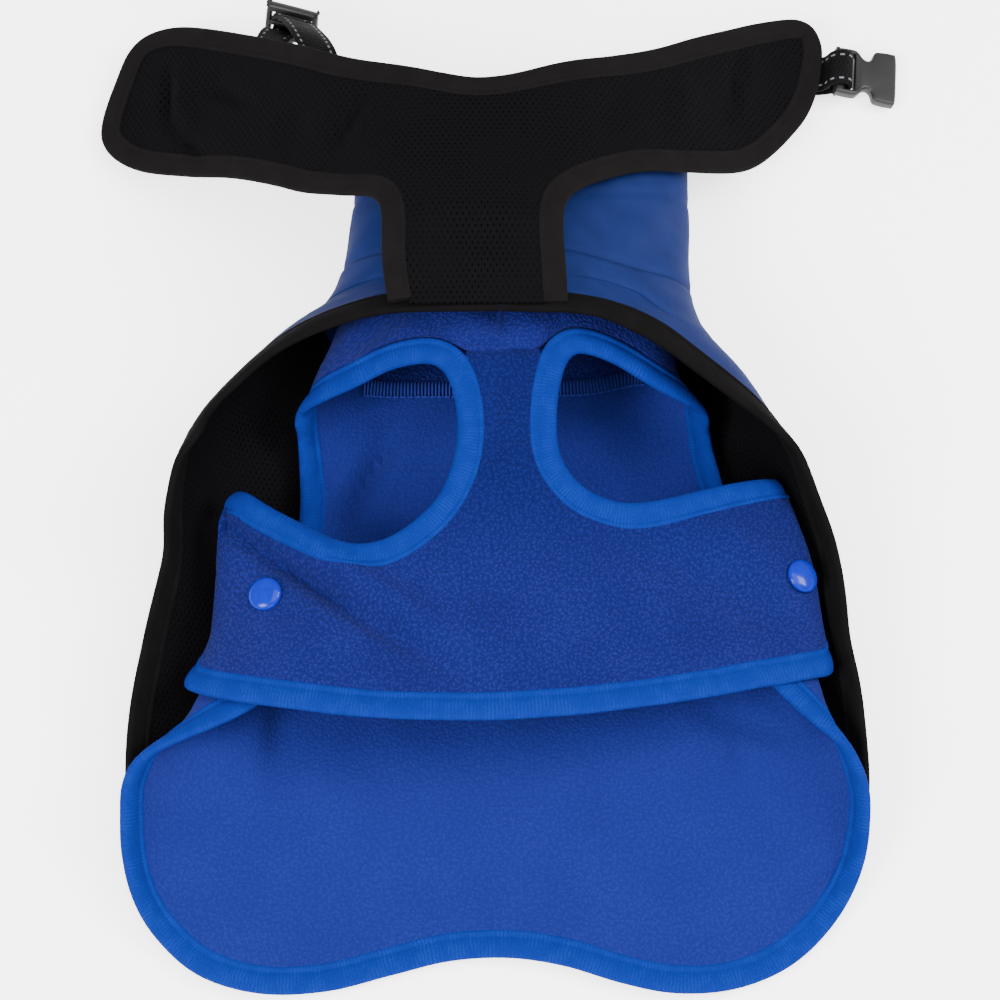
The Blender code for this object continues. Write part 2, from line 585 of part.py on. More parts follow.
def plate(name, outline, holes, thick, matrix, look, bevel=0.8):
    """A moulded plate: a flat outline with holes, its two faces drawn in by a small bevel."""
    loops = [np.array(outline, float)] + [np.array(h, float) for h in holes]
    flat, edges, start = np.concatenate(loops), [], 0
    for loop in loops:
        edges += [(start + i, start + (i + 1) % len(loop)) for i in range(len(loop))]
        start += len(loop)
    points, _, tris, *_ = delaunay_2d_cdt([Vector(p) for p in flat], edges, [], 2, 1e-5)
    tris = [list(t) for t in tris]
    middle = np.array([tuple(p) for p in points])
    keep = []
    for t in tris:
        c = middle[t].mean(0)
        if winding(loops[0], c) and not any(winding(h, c) for h in loops[1:]):
            keep.append(t)
    rim = boundary(keep)
    inward = np.zeros_like(middle)
    for a, b in rim:
        run = middle[b] - middle[a]
        turn = np.array([-run[1], run[0]]) / np.linalg.norm(run)
        inward[a] += turn
        inward[b] += turn
    size = np.linalg.norm(inward, axis=1, keepdims=True)
    inward = np.where(size > 0, inward / np.maximum(size, 1e-9), 0)
    drawn = middle + inward * bevel
    n = len(middle)
    h = thick / 2
    levels = [(drawn, -h), (middle, -h + bevel), (middle, h - bevel), (drawn, h)]
    points = np.concatenate([np.column_stack([p, np.full(n, z)]) for p, z in levels])
    faces = [t[::-1] for t in keep] + [[i + 3 * n for i in t] for t in keep]
    for k in range(3):
        faces += [[a + k * n, b + k * n, b + (k + 1) * n, a + (k + 1) * n] for a, b in rim]
    used = sorted({i for f in faces for i in f})
    number = {old: new for new, old in enumerate(used)}
    faces = [[number[i] for i in f] for f in faces]
    placed = np.column_stack([points[used], np.ones(len(used))]) @ np.array(matrix).T
    return solid(name, placed[:, :3], faces, look)


def winding(loop, point):
    a, b = loop, np.roll(loop, -1, axis=0)
    crosses = (a[:, 1] > point[1]) != (b[:, 1] > point[1])
    run = b - a
    at = a[:, 0] + (point[1] - a[:, 1]) * run[:, 0] / np.where(run[:, 1] == 0, 1, run[:, 1])
    return (crosses & (point[0] < at)).sum() % 2 == 1


def cap(name, place, s, y, look):
    """A snap cap: rings worked out on the cloth round one point, raised to a shallow dome."""
    top, base = -SNAP_THICK, -0.2
    rings = ((0, top), (0.45, top + 0.15), (0.8, top + 0.5), (1, top + 1.1), (0.94, base), (0.5, base), (0, base))
    count = 20
    turn = np.linspace(0, 2 * math.pi, count, endpoint=False)
    points, faces = [], []
    for share, depth in rings:
        r = share * SNAP_DIAMETER / 2
        a, b = (s + r * np.cos(turn), y + r * np.sin(turn)) if share else ([s], [y])
        points.append(place(np.array(a), np.array(b), depth))
    start = [0]
    for p in points:
        start.append(start[-1] + len(p))
    for k in range(len(rings) - 1):
        a, b = start[k], start[k + 1]
        for i in range(count):
            j = (i + 1) % count
            if len(points[k]) == 1:
                faces.append([a, b + i, b + j])
            elif len(points[k + 1]) == 1:
                faces.append([a + i, b, a + j])
            else:
                faces.append([a + i, b + i, b + j, a + j])
    return solid(name, np.concatenate(points), faces, look)


# ---------------------------------------------------------------- the coat
def build():
    for item in list(bpy.data.objects):
        bpy.data.objects.remove(item, do_unlink=True)
    softshell = material("softshell_blue", (0.012, 0.03, 0.19), 0.75)
    net = material("net_lining", (0.006, 0.006, 0.008), 0.9)
    binding = material("binding_tape", (0.012, 0.009, 0.008), 0.85)
    fleece = material("fleece", (0.012, 0.04, 0.36), 0.95)
    rib = material("rib_tape", (0.008, 0.06, 0.55), 0.85)
    webbing = material("webbing", (0.01, 0.01, 0.012), 0.8)
    plastic = material("buckle_plastic", (0.03, 0.03, 0.035), 0.5)
    snap = material("snap_plastic", (0.01, 0.05, 0.7), 0.25)

    shell_depths = (0.0, SOFTSHELL)
    net_depths = (SOFTSHELL + SEAM_GAP, COAT_WALL)
    tape_depths = (0.0, TAPE_THICK)
    fleece_depths = (0.5, 0.5 + FLEECE)
    rib_depths = (0.0, RIB_THICK)

    # Coat: one edge line from the middle of the belly down the right side, round the tail and up the left.
    right, left = np.array(CHEST_EDGE_RIGHT, float), np.array(CHEST_EDGE_LEFT, float)
    edge = np.concatenate([
        np.column_stack([s_from_x(COAT, right[:, 0], right[:, 1]), right[:, 1]]),
        np.array(COAT_EDGE, float),
        np.column_stack([-np.abs(s_from_x(COAT, left[:, 0], left[:, 1])), left[:, 1]]),
    ])
    edge = curve(edge, 10.0)
    start = edge[0, 1]
    inner = aside(coat_under, edge, -(TAPE_WIDTH + SEAM_GAP))
    mouth = start + TAPE_WIDTH + SEAM_GAP
    share = np.linspace(-1, 1, COLLAR_AROUND + 1)
    seam_y = by_share(share, NECK_SEAM_LEFT, NECK_SEAM_RIGHT)
    seam = np.column_stack([share * girth_of(COAT, share, seam_y), seam_y])
    side = np.linspace(mouth, seam_y[0], 3)[:-1]
    closing_left = np.column_stack([-COAT.half_girth(side, False), side])
    closing_right = np.column_stack([COAT.half_girth(side[::-1], True), side[::-1]])
    outline = np.concatenate([inner[1:-1], closing_left, seam, closing_right])

    def at_belly(s, y):
        return np.abs(s) > girth_of(COAT, s, y) - 1e-3

    panel("coat_shell", coat_under, outline, shell_depths, softshell, joined=at_belly)
    panel("coat_lining", coat_under, outline, net_depths, net, joined=at_belly)
    tape("coat_edge_tape", coat_under, edge, -TAPE_WIDTH, tape_depths, binding, ends=at_middle)
    neck, stitched = (NECK_SEAM_LEFT, NECK_SEAM_RIGHT), (COLLAR_SEAM_LEFT, COLLAR_SEAM_RIGHT)
    wall = (0.0, COLLAR_WALL)
    tube("collar_base", COAT, raised(neck, SEAM_GAP), stitched, wall, softshell, COLLAR_AROUND, 2)
    tube("collar", COAT, raised(stitched, SEAM_GAP), level(COLLAR_TOP_Y), wall, softshell, COLLAR_AROUND, 4)

    # Belly flap, with the blue side down.
    flap = curve(FLAP_EDGE, 10.0)
    cloth = aside(FLAP.place, flap, TAPE_WIDTH_FLAP + SEAM_GAP)
    cloth[0, 1] = cloth[-1, 1] = flap[0, 1]
    panel("flap_shell", FLAP.place, cloth, shell_depths, softshell, grid=(14.0, 14.0))
    panel("flap_lining", FLAP.place, cloth, net_depths, net, grid=(14.0, 14.0))
    tape("flap_edge_tape", FLAP.place, flap, TAPE_WIDTH_FLAP, tape_depths, binding)

    # Vest.
    hem = curve(VEST_EDGE, 6.0)
    arm_left, arm_right = armhole(ARMHOLE_LEFT), armhole(ARMHOLE_RIGHT)
    hem_cloth = thinned(aside(VEST.place, hem, RIB_WIDTH + 2 * SEAM_GAP)[:-1], 3.0)
    side_left = aside(VEST.place, arm_left, -SEAM_GAP)
    side_right = aside(VEST.place, arm_right, SEAM_GAP)
    back_left = side_left[: turn_of(side_left, VEST_NECK_LEFT, False)]
    back_right = side_right[: turn_of(side_right, VEST_NECK_RIGHT, True)]
    f_left = np.abs(back_left[-1, 0]) / VEST.half_girth(back_left[-1, 1], False)[0]
    f_right = np.abs(back_right[-1, 0]) / VEST.half_girth(back_right[-1, 1], True)[0]
    f = np.linspace(-f_left, f_right, 18)[1:-1]
    y = by_share(f, VEST_NECK_LEFT, VEST_NECK_RIGHT) - 2 * SEAM_GAP
    back_neck = np.column_stack([f * girth_of(VEST, f, y), y])
    outline = np.concatenate([hem_cloth, back_right, back_neck[::-1], back_left[::-1]])
    panel("vest_back", vest_back, outline, fleece_depths, fleece, grid=(10.0, 13.0))

    front_left, front_right = front_part(side_left, False), front_part(side_right, True)
    band = curve(BAND_EDGE, 6.0)
    band_cloth = thinned(aside(vest_front, band, RIB_WIDTH + 2 * SEAM_GAP), 3.0)
    front_left, band_cloth = meet(front_left, band_cloth)
    front_right, band_cloth = meet(front_right, band_cloth[::-1])
    neck_line = np.array([(t, FRONT_NECK_Y) for t in (front_left[0, 0], 0, front_right[0, 0])])
    outline = np.concatenate([neck_line, front_right, band_cloth, front_left[::-1]])
    panel("vest_front", vest_front, outline, fleece_depths, fleece)
    vest_neck = (VEST_NECK_LEFT, VEST_NECK_RIGHT)
    collar_end = level(VEST_COLLAR_TOP_Y)
    tube("vest_collar", VEST, vest_neck, collar_end, fleece_depths, fleece, VEST_COLLAR_AROUND, 4)
    tape("vest_edge_tape", vest_back, hem, RIB_WIDTH, rib_depths, rib, cut_on=VEST.place)
    tape("armhole_tape_left", VEST.place, arm_left, RIB_WIDTH, rib_depths, rib)
    tape("armhole_tape_right", VEST.place, arm_right, -RIB_WIDTH, rib_depths, rib)
    tape("band_tape", vest_front, band, RIB_WIDTH, rib_depths, rib)
    for name, t, y in SNAPS:
        cap(name, vest_front, t, y, snap)

    # Right end of the flap: webbing loop and the buckle's socket.
    axis, across = unit(0.975, -0.086, -0.215), unit(0.17, -0.985, 0.0)
    across = unit(*(across - across @ axis * axis))
    plate("buckle_socket", SOCKET_OUTLINE, [slot(1.8, 5.8, 8.2)], SOCKET_THICK,
          frame(axis, across, SOCKET_AT), plastic)
    loop = [(x, SOCKET_AT[1], z) for x, z in SOCKET_LOOP]
    strip("webbing_right", loop, across * (1, 1, 0), WEBBING_WIDTH, WEBBING_THICK, webbing)

    # Left end: webbing loop and the buckle's plug, hanging behind the wing.
    bar = unit(0.958, -0.287, 0.0)
    down = unit(-0.129, -0.431, -0.893)
    face = np.cross(bar, down)
    plate("buckle_plug", PLUG_OUTLINE, [slot(1.7, 5.3, 8.2), slot(7.7, 11.3, 8.2)], PLUG_THICK,
          frame(down, bar, PLUG_AT), plastic)
    centre = np.array(PLUG_AT)
    pass_outer = centre + 9.5 * down
    pass_inner = centre + 3.5 * down
    away = face if face[1] > 0 else -face
    line = [
        *PLUG_LOOP_LEFT, pass_outer - 2.6 * away, pass_outer, pass_outer + 2.2 * away - 1.2 * down,
        centre + 6.5 * down + 3.3 * away, pass_inner + 2.2 * away + 1.2 * down, pass_inner,
        pass_inner - 2.6 * away, *PLUG_LOOP_RIGHT,
    ]
    rising, falling = [(0.90, -0.22, 0.38)] * 3, [(0.90, -0.22, -0.02)] + [(0.88, -0.2, 0.3)] * 2
    tilt = np.array(rising + [tuple(bar)] * 9 + falling)
    strip("webbing_left", line, tilt, WEBBING_WIDTH, WEBBING_THICK, webbing)


def unit(*v):
    v = np.array(v, float)
    return v / np.linalg.norm(v)


def frame(a, b, at):
    """A plate's placing: its long direction, its cross direction, its thickness and its origin."""
    m = np.eye(4)
    m[:3, 0], m[:3, 1], m[:3, 2], m[:3, 3] = a, b, np.cross(a, b), at
    return m


def slot(start, end, half):
    return [(start, -half), (end, -half), (end, half), (start, half)]


def at_middle(y):
    """The s of the coat tape's two ends, half a seam gap to each side of the middle of the belly."""
    return COAT.half_girth(y[:1], True)[0] - SEAM_GAP / 2, SEAM_GAP / 2 - COAT.half_girth(y[1:], False)[0]


def armhole(table):
    """The armhole's seam as one line in (s, y), smoothed in s on the back panel and in t on the front."""
    rows = []
    for kind, a, y in table:
        other = float(s_from_t(VEST, [a], [y])[0])
        rows.append((a, other, y, 0.0) if kind == "s" else (other, a, y, 1.0))
    s, t, y, front = curve(rows, 10.5).T
    front = ease(front)
    return np.column_stack([(1 - front) * s + front * s_from_t(VEST, t, y), y])


def front_part(line, right):
    """The armhole line's part on the front panel, in (t, y) from the neck seam to the band's corner."""
    sign = 1 if right else -1
    t = VEST.half_girth(line[:, 1], right) - np.abs(line[:, 0])
    top = int(np.argmax(np.where(t < 40, line[:, 1], -999)))
    rows = np.column_stack([sign * t, line[:, 1]])[top:]
    return rows[rows[:, 1] < FRONT_NECK_Y - 1.5]


def meet(a, b):
    """Two lines cut where they cross: the first up to the crossing, the second from the crossing."""
    for i in range(len(a) - 1, 0, -1):
        for j in range(len(b) - 1):
            r, q = a[i] - a[i - 1], b[j + 1] - b[j]
            area = r[0] * q[1] - r[1] * q[0]
            if abs(area) < 1e-9:
                continue
            d = b[j] - a[i - 1]
            u, v = (d[0] * q[1] - d[1] * q[0]) / area, (d[0] * r[1] - d[1] * r[0]) / area
            if 0 <= u <= 1 and 0 <= v <= 1:
                point = a[i - 1] + u * r
                keep_a = a[:i][np.linalg.norm(a[:i] - point, axis=1) > 2.5]
                keep_b = b[j + 1:][np.linalg.norm(b[j + 1:] - point, axis=1) > 2.5]
                return np.concatenate([keep_a, [point]]), np.concatenate([keep_b])
    return a, b


def turn_of(line, neck, right):
    """How many points of an armhole's line belong to the back panel: those before it meets the neck seam."""
    table = np.array(neck, float)
    for i, (s, y) in enumerate(line):
        f = abs(s) / VEST.half_girth(y, right)[0]
        if f > 0.44 and y > float(smooth(np.array([f]), table[:, 0], table[:, 1])[0]) - 3.2:
            return i
    return len(line)


build()
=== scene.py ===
# %% [markdown]
# # A dog's winter coat, lying open on its back
#
# The coat is a softshell jacket for a small dog. It lies on its back with its belly flap rolled over the
# collar, and a fleece vest is snapped shut inside it. This script dresses the fixed CAD frame: every cloth
# piece is laid again on the same hollow forms as its solid, finer, with its folds, nap, ribs and stitches.
# All tables are in millimetres; `MIDDLE` and `MM` turn them into the frame's metres.

# %% Set up
import math

import bpy
import numpy as np
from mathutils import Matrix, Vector
from mathutils.geometry import delaunay_2d_cdt


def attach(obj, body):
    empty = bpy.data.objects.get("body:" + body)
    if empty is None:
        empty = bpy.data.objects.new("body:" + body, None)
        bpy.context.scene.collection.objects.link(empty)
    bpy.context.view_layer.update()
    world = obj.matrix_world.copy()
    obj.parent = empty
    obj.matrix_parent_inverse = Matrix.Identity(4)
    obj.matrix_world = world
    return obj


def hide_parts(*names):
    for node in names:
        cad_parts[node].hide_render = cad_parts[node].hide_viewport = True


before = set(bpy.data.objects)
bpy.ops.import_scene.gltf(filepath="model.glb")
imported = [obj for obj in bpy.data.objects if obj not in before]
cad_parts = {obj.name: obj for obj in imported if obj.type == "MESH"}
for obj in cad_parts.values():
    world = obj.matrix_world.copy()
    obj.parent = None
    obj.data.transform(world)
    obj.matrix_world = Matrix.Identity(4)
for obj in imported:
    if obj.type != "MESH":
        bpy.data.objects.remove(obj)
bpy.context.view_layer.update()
MM = 0.001
MIDDLE = np.array((0.3, 5.65, 0.0))

# %% [markdown]
# ## Camera, light and floor
#
# The camera looks down on the coat from 68 degrees above the table with a long lens, so the head end is a
# little smaller than the tail. A key light at the left, two fills and a wide overhead softbox give the soft
# catalogue light.

# %% Camera, light and floor
ELEVATION, DISTANCE = math.radians(68.0), 1.150
VIEW_WIDTH, SENSOR_WIDTH = 0.372, 36  # metres across the coat, and millimetres
AIM = -MIDDLE * MM
camera = bpy.data.objects.new("camera", bpy.data.cameras.new("camera"))
camera.data.sensor_width = SENSOR_WIDTH
camera.data.lens = SENSOR_WIDTH / VIEW_WIDTH * DISTANCE
camera.location = AIM + DISTANCE * np.array((0, -math.cos(ELEVATION), math.sin(ELEVATION)))
camera.rotation_euler = (math.pi / 2 - ELEVATION, 0, 0)
bpy.context.scene.collection.objects.link(camera)
bpy.context.scene.camera = camera


def softbox(name, place, size, watts):
    """A square area light of that size in metres, turned towards the middle of the coat."""
    data = bpy.data.lights.new(name, "AREA")
    data.shape, data.size, data.energy = "SQUARE", size, watts
    lamp = bpy.data.objects.new(name, data)
    lamp.location = place
    lamp.rotation_euler = (-Vector(place)).to_track_quat("-Z", "Y").to_euler()
    bpy.context.scene.collection.objects.link(lamp)


softbox("key", (-1.0, -0.8, 1.15), 0.8, 56)
softbox("front_fill", (0.3, -1.5, 0.8), 1.1, 12)
softbox("overhead", (0.35, -0.05, 1.7), 1.4, 32)
softbox("right_fill", (1.25, 0.1, 1.15), 0.7, 40)

world = bpy.data.worlds.new("studio")
world.use_nodes = True
background = world.node_tree.nodes["Background"]
background.inputs["Color"].default_value = (1, 1, 1, 1)
background.inputs["Strength"].default_value = 0.8
bpy.context.scene.world = world

FLOOR_REACH = 4
floor_mesh = bpy.data.meshes.new("floor")
corners = [(x * FLOOR_REACH, y * FLOOR_REACH, 0) for x, y in ((-1, -1), (1, -1), (1, 1), (-1, 1))]
floor_mesh.from_pydata(corners, [], [(0, 1, 2, 3)])
floor = bpy.data.objects.new("floor", floor_mesh)
paper = bpy.data.materials.new("paper")
paper.use_nodes = True
for name, value in (
    ("Base Color", (0.96, 0.96, 0.96, 1)), ("Roughness", 0.9),
    ("Emission Color", (1, 1, 1, 1)), ("Emission Strength", 2.0),
):
    paper.node_tree.nodes["Principled BSDF"].inputs[name].default_value = value
floor_mesh.materials.append(paper)
bpy.context.scene.collection.objects.link(floor)

# %% [markdown]
# ## The hollow forms
#
# A garment that was filled out and laid down keeps a hollow form. Each row below is one cross-section. A
# flat cut is drawn in (s, y), where s is the distance along the cross-section from the middle of the back,
# and `Form.place` lays it on the form at a depth towards the inside.

# %% Forms
SEAM_GAP = 0.3
SOFTSHELL = 1.3
NET_LINING = 1.0
NET_GAP = 0.15  # between the shell and the net inside it
COAT_WALL = SOFTSHELL + SEAM_GAP + NET_LINING
TAPE_WIDTH = 9.5
TAPE_WIDTH_FLAP = 8.5
TAPE_THICK = 3.0
COAT_LAP = 0.5  # how far the coat's cloth reaches under its tape
LAP = 0.4  # the same for the flap and the vest
FLEECE = 2.4
RIB_WIDTH = 9.2
RIB_THICK = 3.4
VEST_FLOOR = 3.6
TUCK = 6.0  # how far in the vest's tabs lie under the belly band
TAB_SIDE, TAB_TAIL, TAB_HEAD = (76, 18), (-124, 27), (-8, 10)  # where the tuck starts, and its run
WEBBING_WIDTH = 15.0
WEBBING_THICK = 1.4
SNAP_DIAMETER = 12.4
COLLAR_WALL = 2.2
COLLAR_TOP_Y = 135.0
VEST_COLLAR_TOP_Y = 96.0
SECTION = ("y", "flat_l", "reach_l", "over_l", "flat_r", "reach_r", "over_r", "side", "top")
COAT_SECTIONS = (
    (-200, 112, 146, 146, 112, 144, 144, 22, 60),
    (-165, 110, 143.5, 143.5, 110, 142, 142, 26, 64),
    (-141, 106, 143, 143, 108, 140.5, 140.5, 29, 66),
    (-120, 96, 141, 141, 100, 138.5, 138.5, 35, 68),
    (-90, 84, 139, 139, 92, 134.5, 134.5, 44, 70),
    (-60, 76, 136.5, 136.5, 88, 131, 131, 52, 72),
    (-30, 72, 128, 128, 84, 124, 124, 52, 72),
    (-12, 69, 120.5, 120.5, 81, 115, 115, 46, 69),
    (4, 65, 115, 115, 76, 107.5, 107.5, 41, 66),
    (20, 59, 108.5, 108.5, 68, 98, 98, 36, 65),
    (35, 51, 97.5, 97.5, 58, 89.5, 89.5, 32, 66),
    (48, 44, 86, 86, 50.5, 79.5, 79.5, 31, 66),
    (57, 40, 76, 76, 47.5, 73.5, 73.5, 30, 62.5),
    (66, 35, 64, 64, 46, 71, 71, 29.5, 60),
    (75, 32.5, 59.5, 59.5, 45.8, 70.8, 70.8, 29, 59),
    (100, 30.5, 56, 56, 45.8, 70.6, 70.6, 28, 57.5),
    (140, 30, 54.5, 54.5, 46, 70.5, 70.5, 27, 55.5),
)
VEST_SECTIONS = (
    (-200, 112, 141.8, 141.8, 112, 139.8, 139.8, 18.4, 42),
    (-165, 110, 138.8, 138.8, 110, 136.8, 136.8, 22.4, 42),
    (-141, 106, 137.8, 137.8, 108, 134.8, 134.8, 25.4, 42),
    (-120, 96, 135.8, 135.8, 100, 132.8, 132.8, 31.4, 42),
    (-105, 86, 128, 128, 92, 128, 128, 26, 42),
    (-92, 78, 117, 117, 86, 123, 123, 22, 42),
    (-80, 70, 112, 112, 80, 120, 120, 20.5, 42),
    (-60, 62, 104, 104, 74, 116.5, 116.5, 20, 42),
    (-40, 56, 103, 103, 68, 114, 114, 20, 42.5),
    (-32, 53.5, 102, 103, 65, 111, 113, 20.5, 43),
    (-22, 50, 90, 103, 60, 98, 110.5, 21, 43.5),
    (-13, 48, 83, 100.5, 57.5, 92.5, 108.3, 19.5, 44.3),
    (-3, 48.5, 79.5, 95.5, 57, 88.5, 103.8, 15, 45.4),
    (8, 48.5, 78.5, 88, 55.5, 85, 96, 13, 46.7),
    (18, 46, 76, 81, 51.5, 80, 86, 15, 47.9),
    (28, 42, 71.5, 73, 45.5, 71.5, 73.5, 22, 48.7),
    (40, 37, 66, 66, 40, 65, 65, 27, 49.5),
    (60, 33, 58, 58, 40, 63, 63, 26, 49),
    (75, 30, 52, 52, 40, 63.5, 63.5, 25, 48),
    (100, 28, 49, 49, 40, 63, 63, 24, 46.5),
)


def smooth(x, xs, ys):
    """Smooth values between the rows of a table: cubic, without overshoot between two rows."""
    step = np.diff(xs)
    slope = np.diff(ys) / step
    tangent = np.empty_like(ys)
    tangent[1:-1] = np.where(
        slope[:-1] * slope[1:] > 0,
        2 * slope[:-1] * slope[1:] / (slope[:-1] + slope[1:] + 1e-12),
        0,
    )
    tangent[0] = slope[0]
    tangent[-1] = slope[-1]
    i = np.clip(np.searchsorted(xs, x) - 1, 0, len(xs) - 2)
    t = np.clip((x - xs[i]) / step[i], 0, 1)
    return (
        (1 + 2 * t) * (1 - t) ** 2 * ys[i]
        + t * (1 - t) ** 2 * step[i] * tangent[i]
        + t * t * (3 - 2 * t) * ys[i + 1]
        - t * t * (1 - t) * step[i] * tangent[i + 1]
    )


def ease(t):
    """0 below 0, 1 above 1, and a smooth step between."""
    t = np.clip(t, 0, 1)
    return t * t * (3 - 2 * t)


class Form:
    """A hollow form of cross-sections, on which cloth is laid by (s, y) and a depth towards its inside."""

    STEPS = 40

    def __init__(self, sections, floor):
        self.table = np.array(sections, float)
        self.floor = floor

    def column(self, name, y):
        k = SECTION.index(name)
        return smooth(y, self.table[:, 0], self.table[:, k])

    def section(self, y, right):
        """Half a cross-section at each y as points (x, z), with the length along it."""
        flat = np.where(right, self.column("flat_r", y), self.column("flat_l", y))[:, None]
        reach = np.where(right, self.column("reach_r", y), self.column("reach_l", y))[:, None]
        over = np.where(right, self.column("over_r", y), self.column("over_l", y))[:, None]
        side = self.column("side", y)[:, None]
        top = self.column("top", y)[:, None]
        turn = np.linspace(0, math.pi / 2, self.STEPS)[None, :]
        x = np.concatenate(
            [0 * flat, flat + (reach - flat) * np.sin(turn), over * np.cos(turn[:, 1:])], axis=1
        )
        z = np.concatenate(
            [0 * flat, side * (1 - np.cos(turn)), side + (top - side) * np.sin(turn[:, 1:])], axis=1
        )
        step = np.hypot(np.diff(x, axis=1), np.diff(z, axis=1))
        along = np.concatenate([0 * flat, np.cumsum(step, axis=1)], axis=1)
        return x, z, along

    def half_girth(self, y, right=True):
        """The length of half a cross-section, from the middle of the back to the middle of the belly."""
        y = np.atleast_1d(np.asarray(y, float))
        return self.section(y, np.full(y.shape, right))[2][:, -1]

    def surface(self, s, y):
        """Points at (s, y). Beyond the middle of the belly, s goes on down the other side."""
        s, y = np.broadcast_arrays(np.asarray(s, float), np.asarray(y, float))
        girth_l, girth_r = self.half_girth(y, False), self.half_girth(y, True)
        around = girth_r + girth_l
        s = np.where(s > girth_r, s - around, np.where(s < -girth_l, s + around, s))
        right = s >= 0
        x, z, along = self.section(y, right)
        want = np.minimum(np.abs(s), along[:, -1] - 1e-9)[:, None]
        i = np.clip((along <= want).sum(axis=1) - 1, 0, along.shape[1] - 2)[:, None]
        before, after = np.take_along_axis(along, i, 1), np.take_along_axis(along, i + 1, 1)
        t = (want - before) / np.maximum(after - before, 1e-9)

        def between(values):
            low, high = np.take_along_axis(values, i, 1), np.take_along_axis(values, i + 1, 1)
            return (low + (high - low) * t)[:, 0]

        return np.stack([np.where(right, 1, -1) * between(x), y, self.floor + between(z)], axis=1)

    def place(self, s, y, depth=0.0):
        """Points of the form at (s, y), moved depth towards its inside."""
        return moved_in(self.surface, s, y, depth)


def moved_in(surface, s, y, depth, step=1.0):
    """Points of a surface, moved depth along its normal."""
    s, y = np.asarray(s, float), np.asarray(y, float)
    along_s = surface(s + step, y) - surface(s - step, y)
    along_y = surface(s, y + step) - surface(s, y - step)
    inward = np.cross(along_s, along_y)
    inward /= np.linalg.norm(inward, axis=1, keepdims=True)
    return surface(s, y) + inward * np.reshape(depth, (-1, 1))


class FlapForm:
    """The belly flap: a stem that rises and rolls over the collar, and two drooping wings."""

    MIDDLE = -8.0
    RISE = np.array(  # y, height of the middle
        [(44, 65.6), (50, 65.8), (56, 66.9), (62, 69.2), (70, 72), (78, 73.5), (88, 72.5), (104, 67.5),
         (128, 62.5), (210, 59)], float
    )
    DROOP_LEFT = np.array(  # distance from the middle, share of the way down to the table
        [(-30, 0), (20, 0), (50, 0.13), (80, 0.39), (110, 0.68), (136, 0.91), (156, 1.0), (200, 1.0)], float
    )
    DROOP_RIGHT = np.array(
        [(-30, 0), (20, 0), (50, 0.15), (75, 0.38), (100, 0.68), (120, 0.89), (142, 1.0), (200, 1.0)], float
    )
    TIP_LEFT, TIP_RIGHT = 1.2, 6.0

    def surface(self, x, y):
        x, y = np.broadcast_arrays(np.asarray(x, float), np.asarray(y, float))
        crest = smooth(y, self.RISE[:, 0], self.RISE[:, 1])
        out = x - self.MIDDLE
        left = smooth(np.abs(out), self.DROOP_LEFT[:, 0], self.DROOP_LEFT[:, 1])
        right = smooth(np.abs(out), self.DROOP_RIGHT[:, 0], self.DROOP_RIGHT[:, 1])
        z = np.where(
            out < 0,
            crest - (crest - self.TIP_LEFT) * left,
            crest - (crest - self.TIP_RIGHT) * right,
        )
        return np.stack([x, y, z], axis=1)

    def place(self, x, y, depth=0.0):
        """Points of the flap at (x, y), moved depth upwards from its lower face."""
        return moved_in(self.surface, x, y, depth)


COAT = Form(COAT_SECTIONS, 0.0)
VEST = Form(VEST_SECTIONS, VEST_FLOOR)
FLAP = FlapForm()


def girth_of(form, s, y):
    """The length of half a cross-section, on the side that s is on."""
    s, y = np.asarray(s, float), np.asarray(y, float)
    return np.where(s >= 0, form.half_girth(y, True), form.half_girth(y, False))


def turned(form, t, y):
    """s from t, the distance from the middle of the belly, or t from s, from the middle of the back."""
    t, y = np.asarray(t, float), np.asarray(y, float)
    return np.where(t >= 0, 1, -1) * (girth_of(form, t, y) - np.abs(t))


def over(form):
    """The same form, with t from the middle of the belly in place of s from the middle of the back."""

    def place(t, y, depth=0.0):
        t, y = np.broadcast_arrays(np.asarray(t, float), np.asarray(y, float))
        return form.place(turned(form, t, y), y, depth)

    return place


def s_from_x(form, x, y):
    """The belly side's point at x, given as its s."""
    x, y = np.asarray(x, float), np.asarray(y, float)
    tops = np.stack([form.section(y, x >= 0)[k] for k in (0, 2)])[:, :, form.STEPS:]
    return np.array([np.sign(a) * np.interp(abs(a), row[::-1], far[::-1]) if a else far[-1]
                     for a, row, far in zip(x, tops[0], tops[1])])


def vest_back(s, y, depth=0.0):
    """The vest's back panel. Its two tabs lie TUCK further in, where they pass under the belly band.

    The whole side draws in there, and towards the height at which it is widest.
    """
    s, y = np.broadcast_arrays(np.asarray(s, float), np.asarray(y, float))
    p = VEST.place(s, y, depth)
    sink = TUCK * ease((np.abs(s) - TAB_SIDE[0]) / TAB_SIDE[1])
    sink = sink * ease((y - TAB_TAIL[0]) / TAB_TAIL[1]) * ease((TAB_HEAD[0] - y) / TAB_HEAD[1])
    reach = np.where(s >= 0, VEST.column("reach_r", y), VEST.column("reach_l", y))
    height = (VEST.surface(s, y)[:, 2] - VEST_FLOOR) / VEST.column("side", y)
    p[:, 0] -= sink * np.clip(p[:, 0] / reach, -1, 1)
    p[:, 2] += sink * np.clip(1 - height, -1, 1)
    return p


vest_front = over(VEST)

# %% [markdown]
# ## Cut lines
#
# The same outlines as the solids', a row for each change of direction, in the same coordinates.

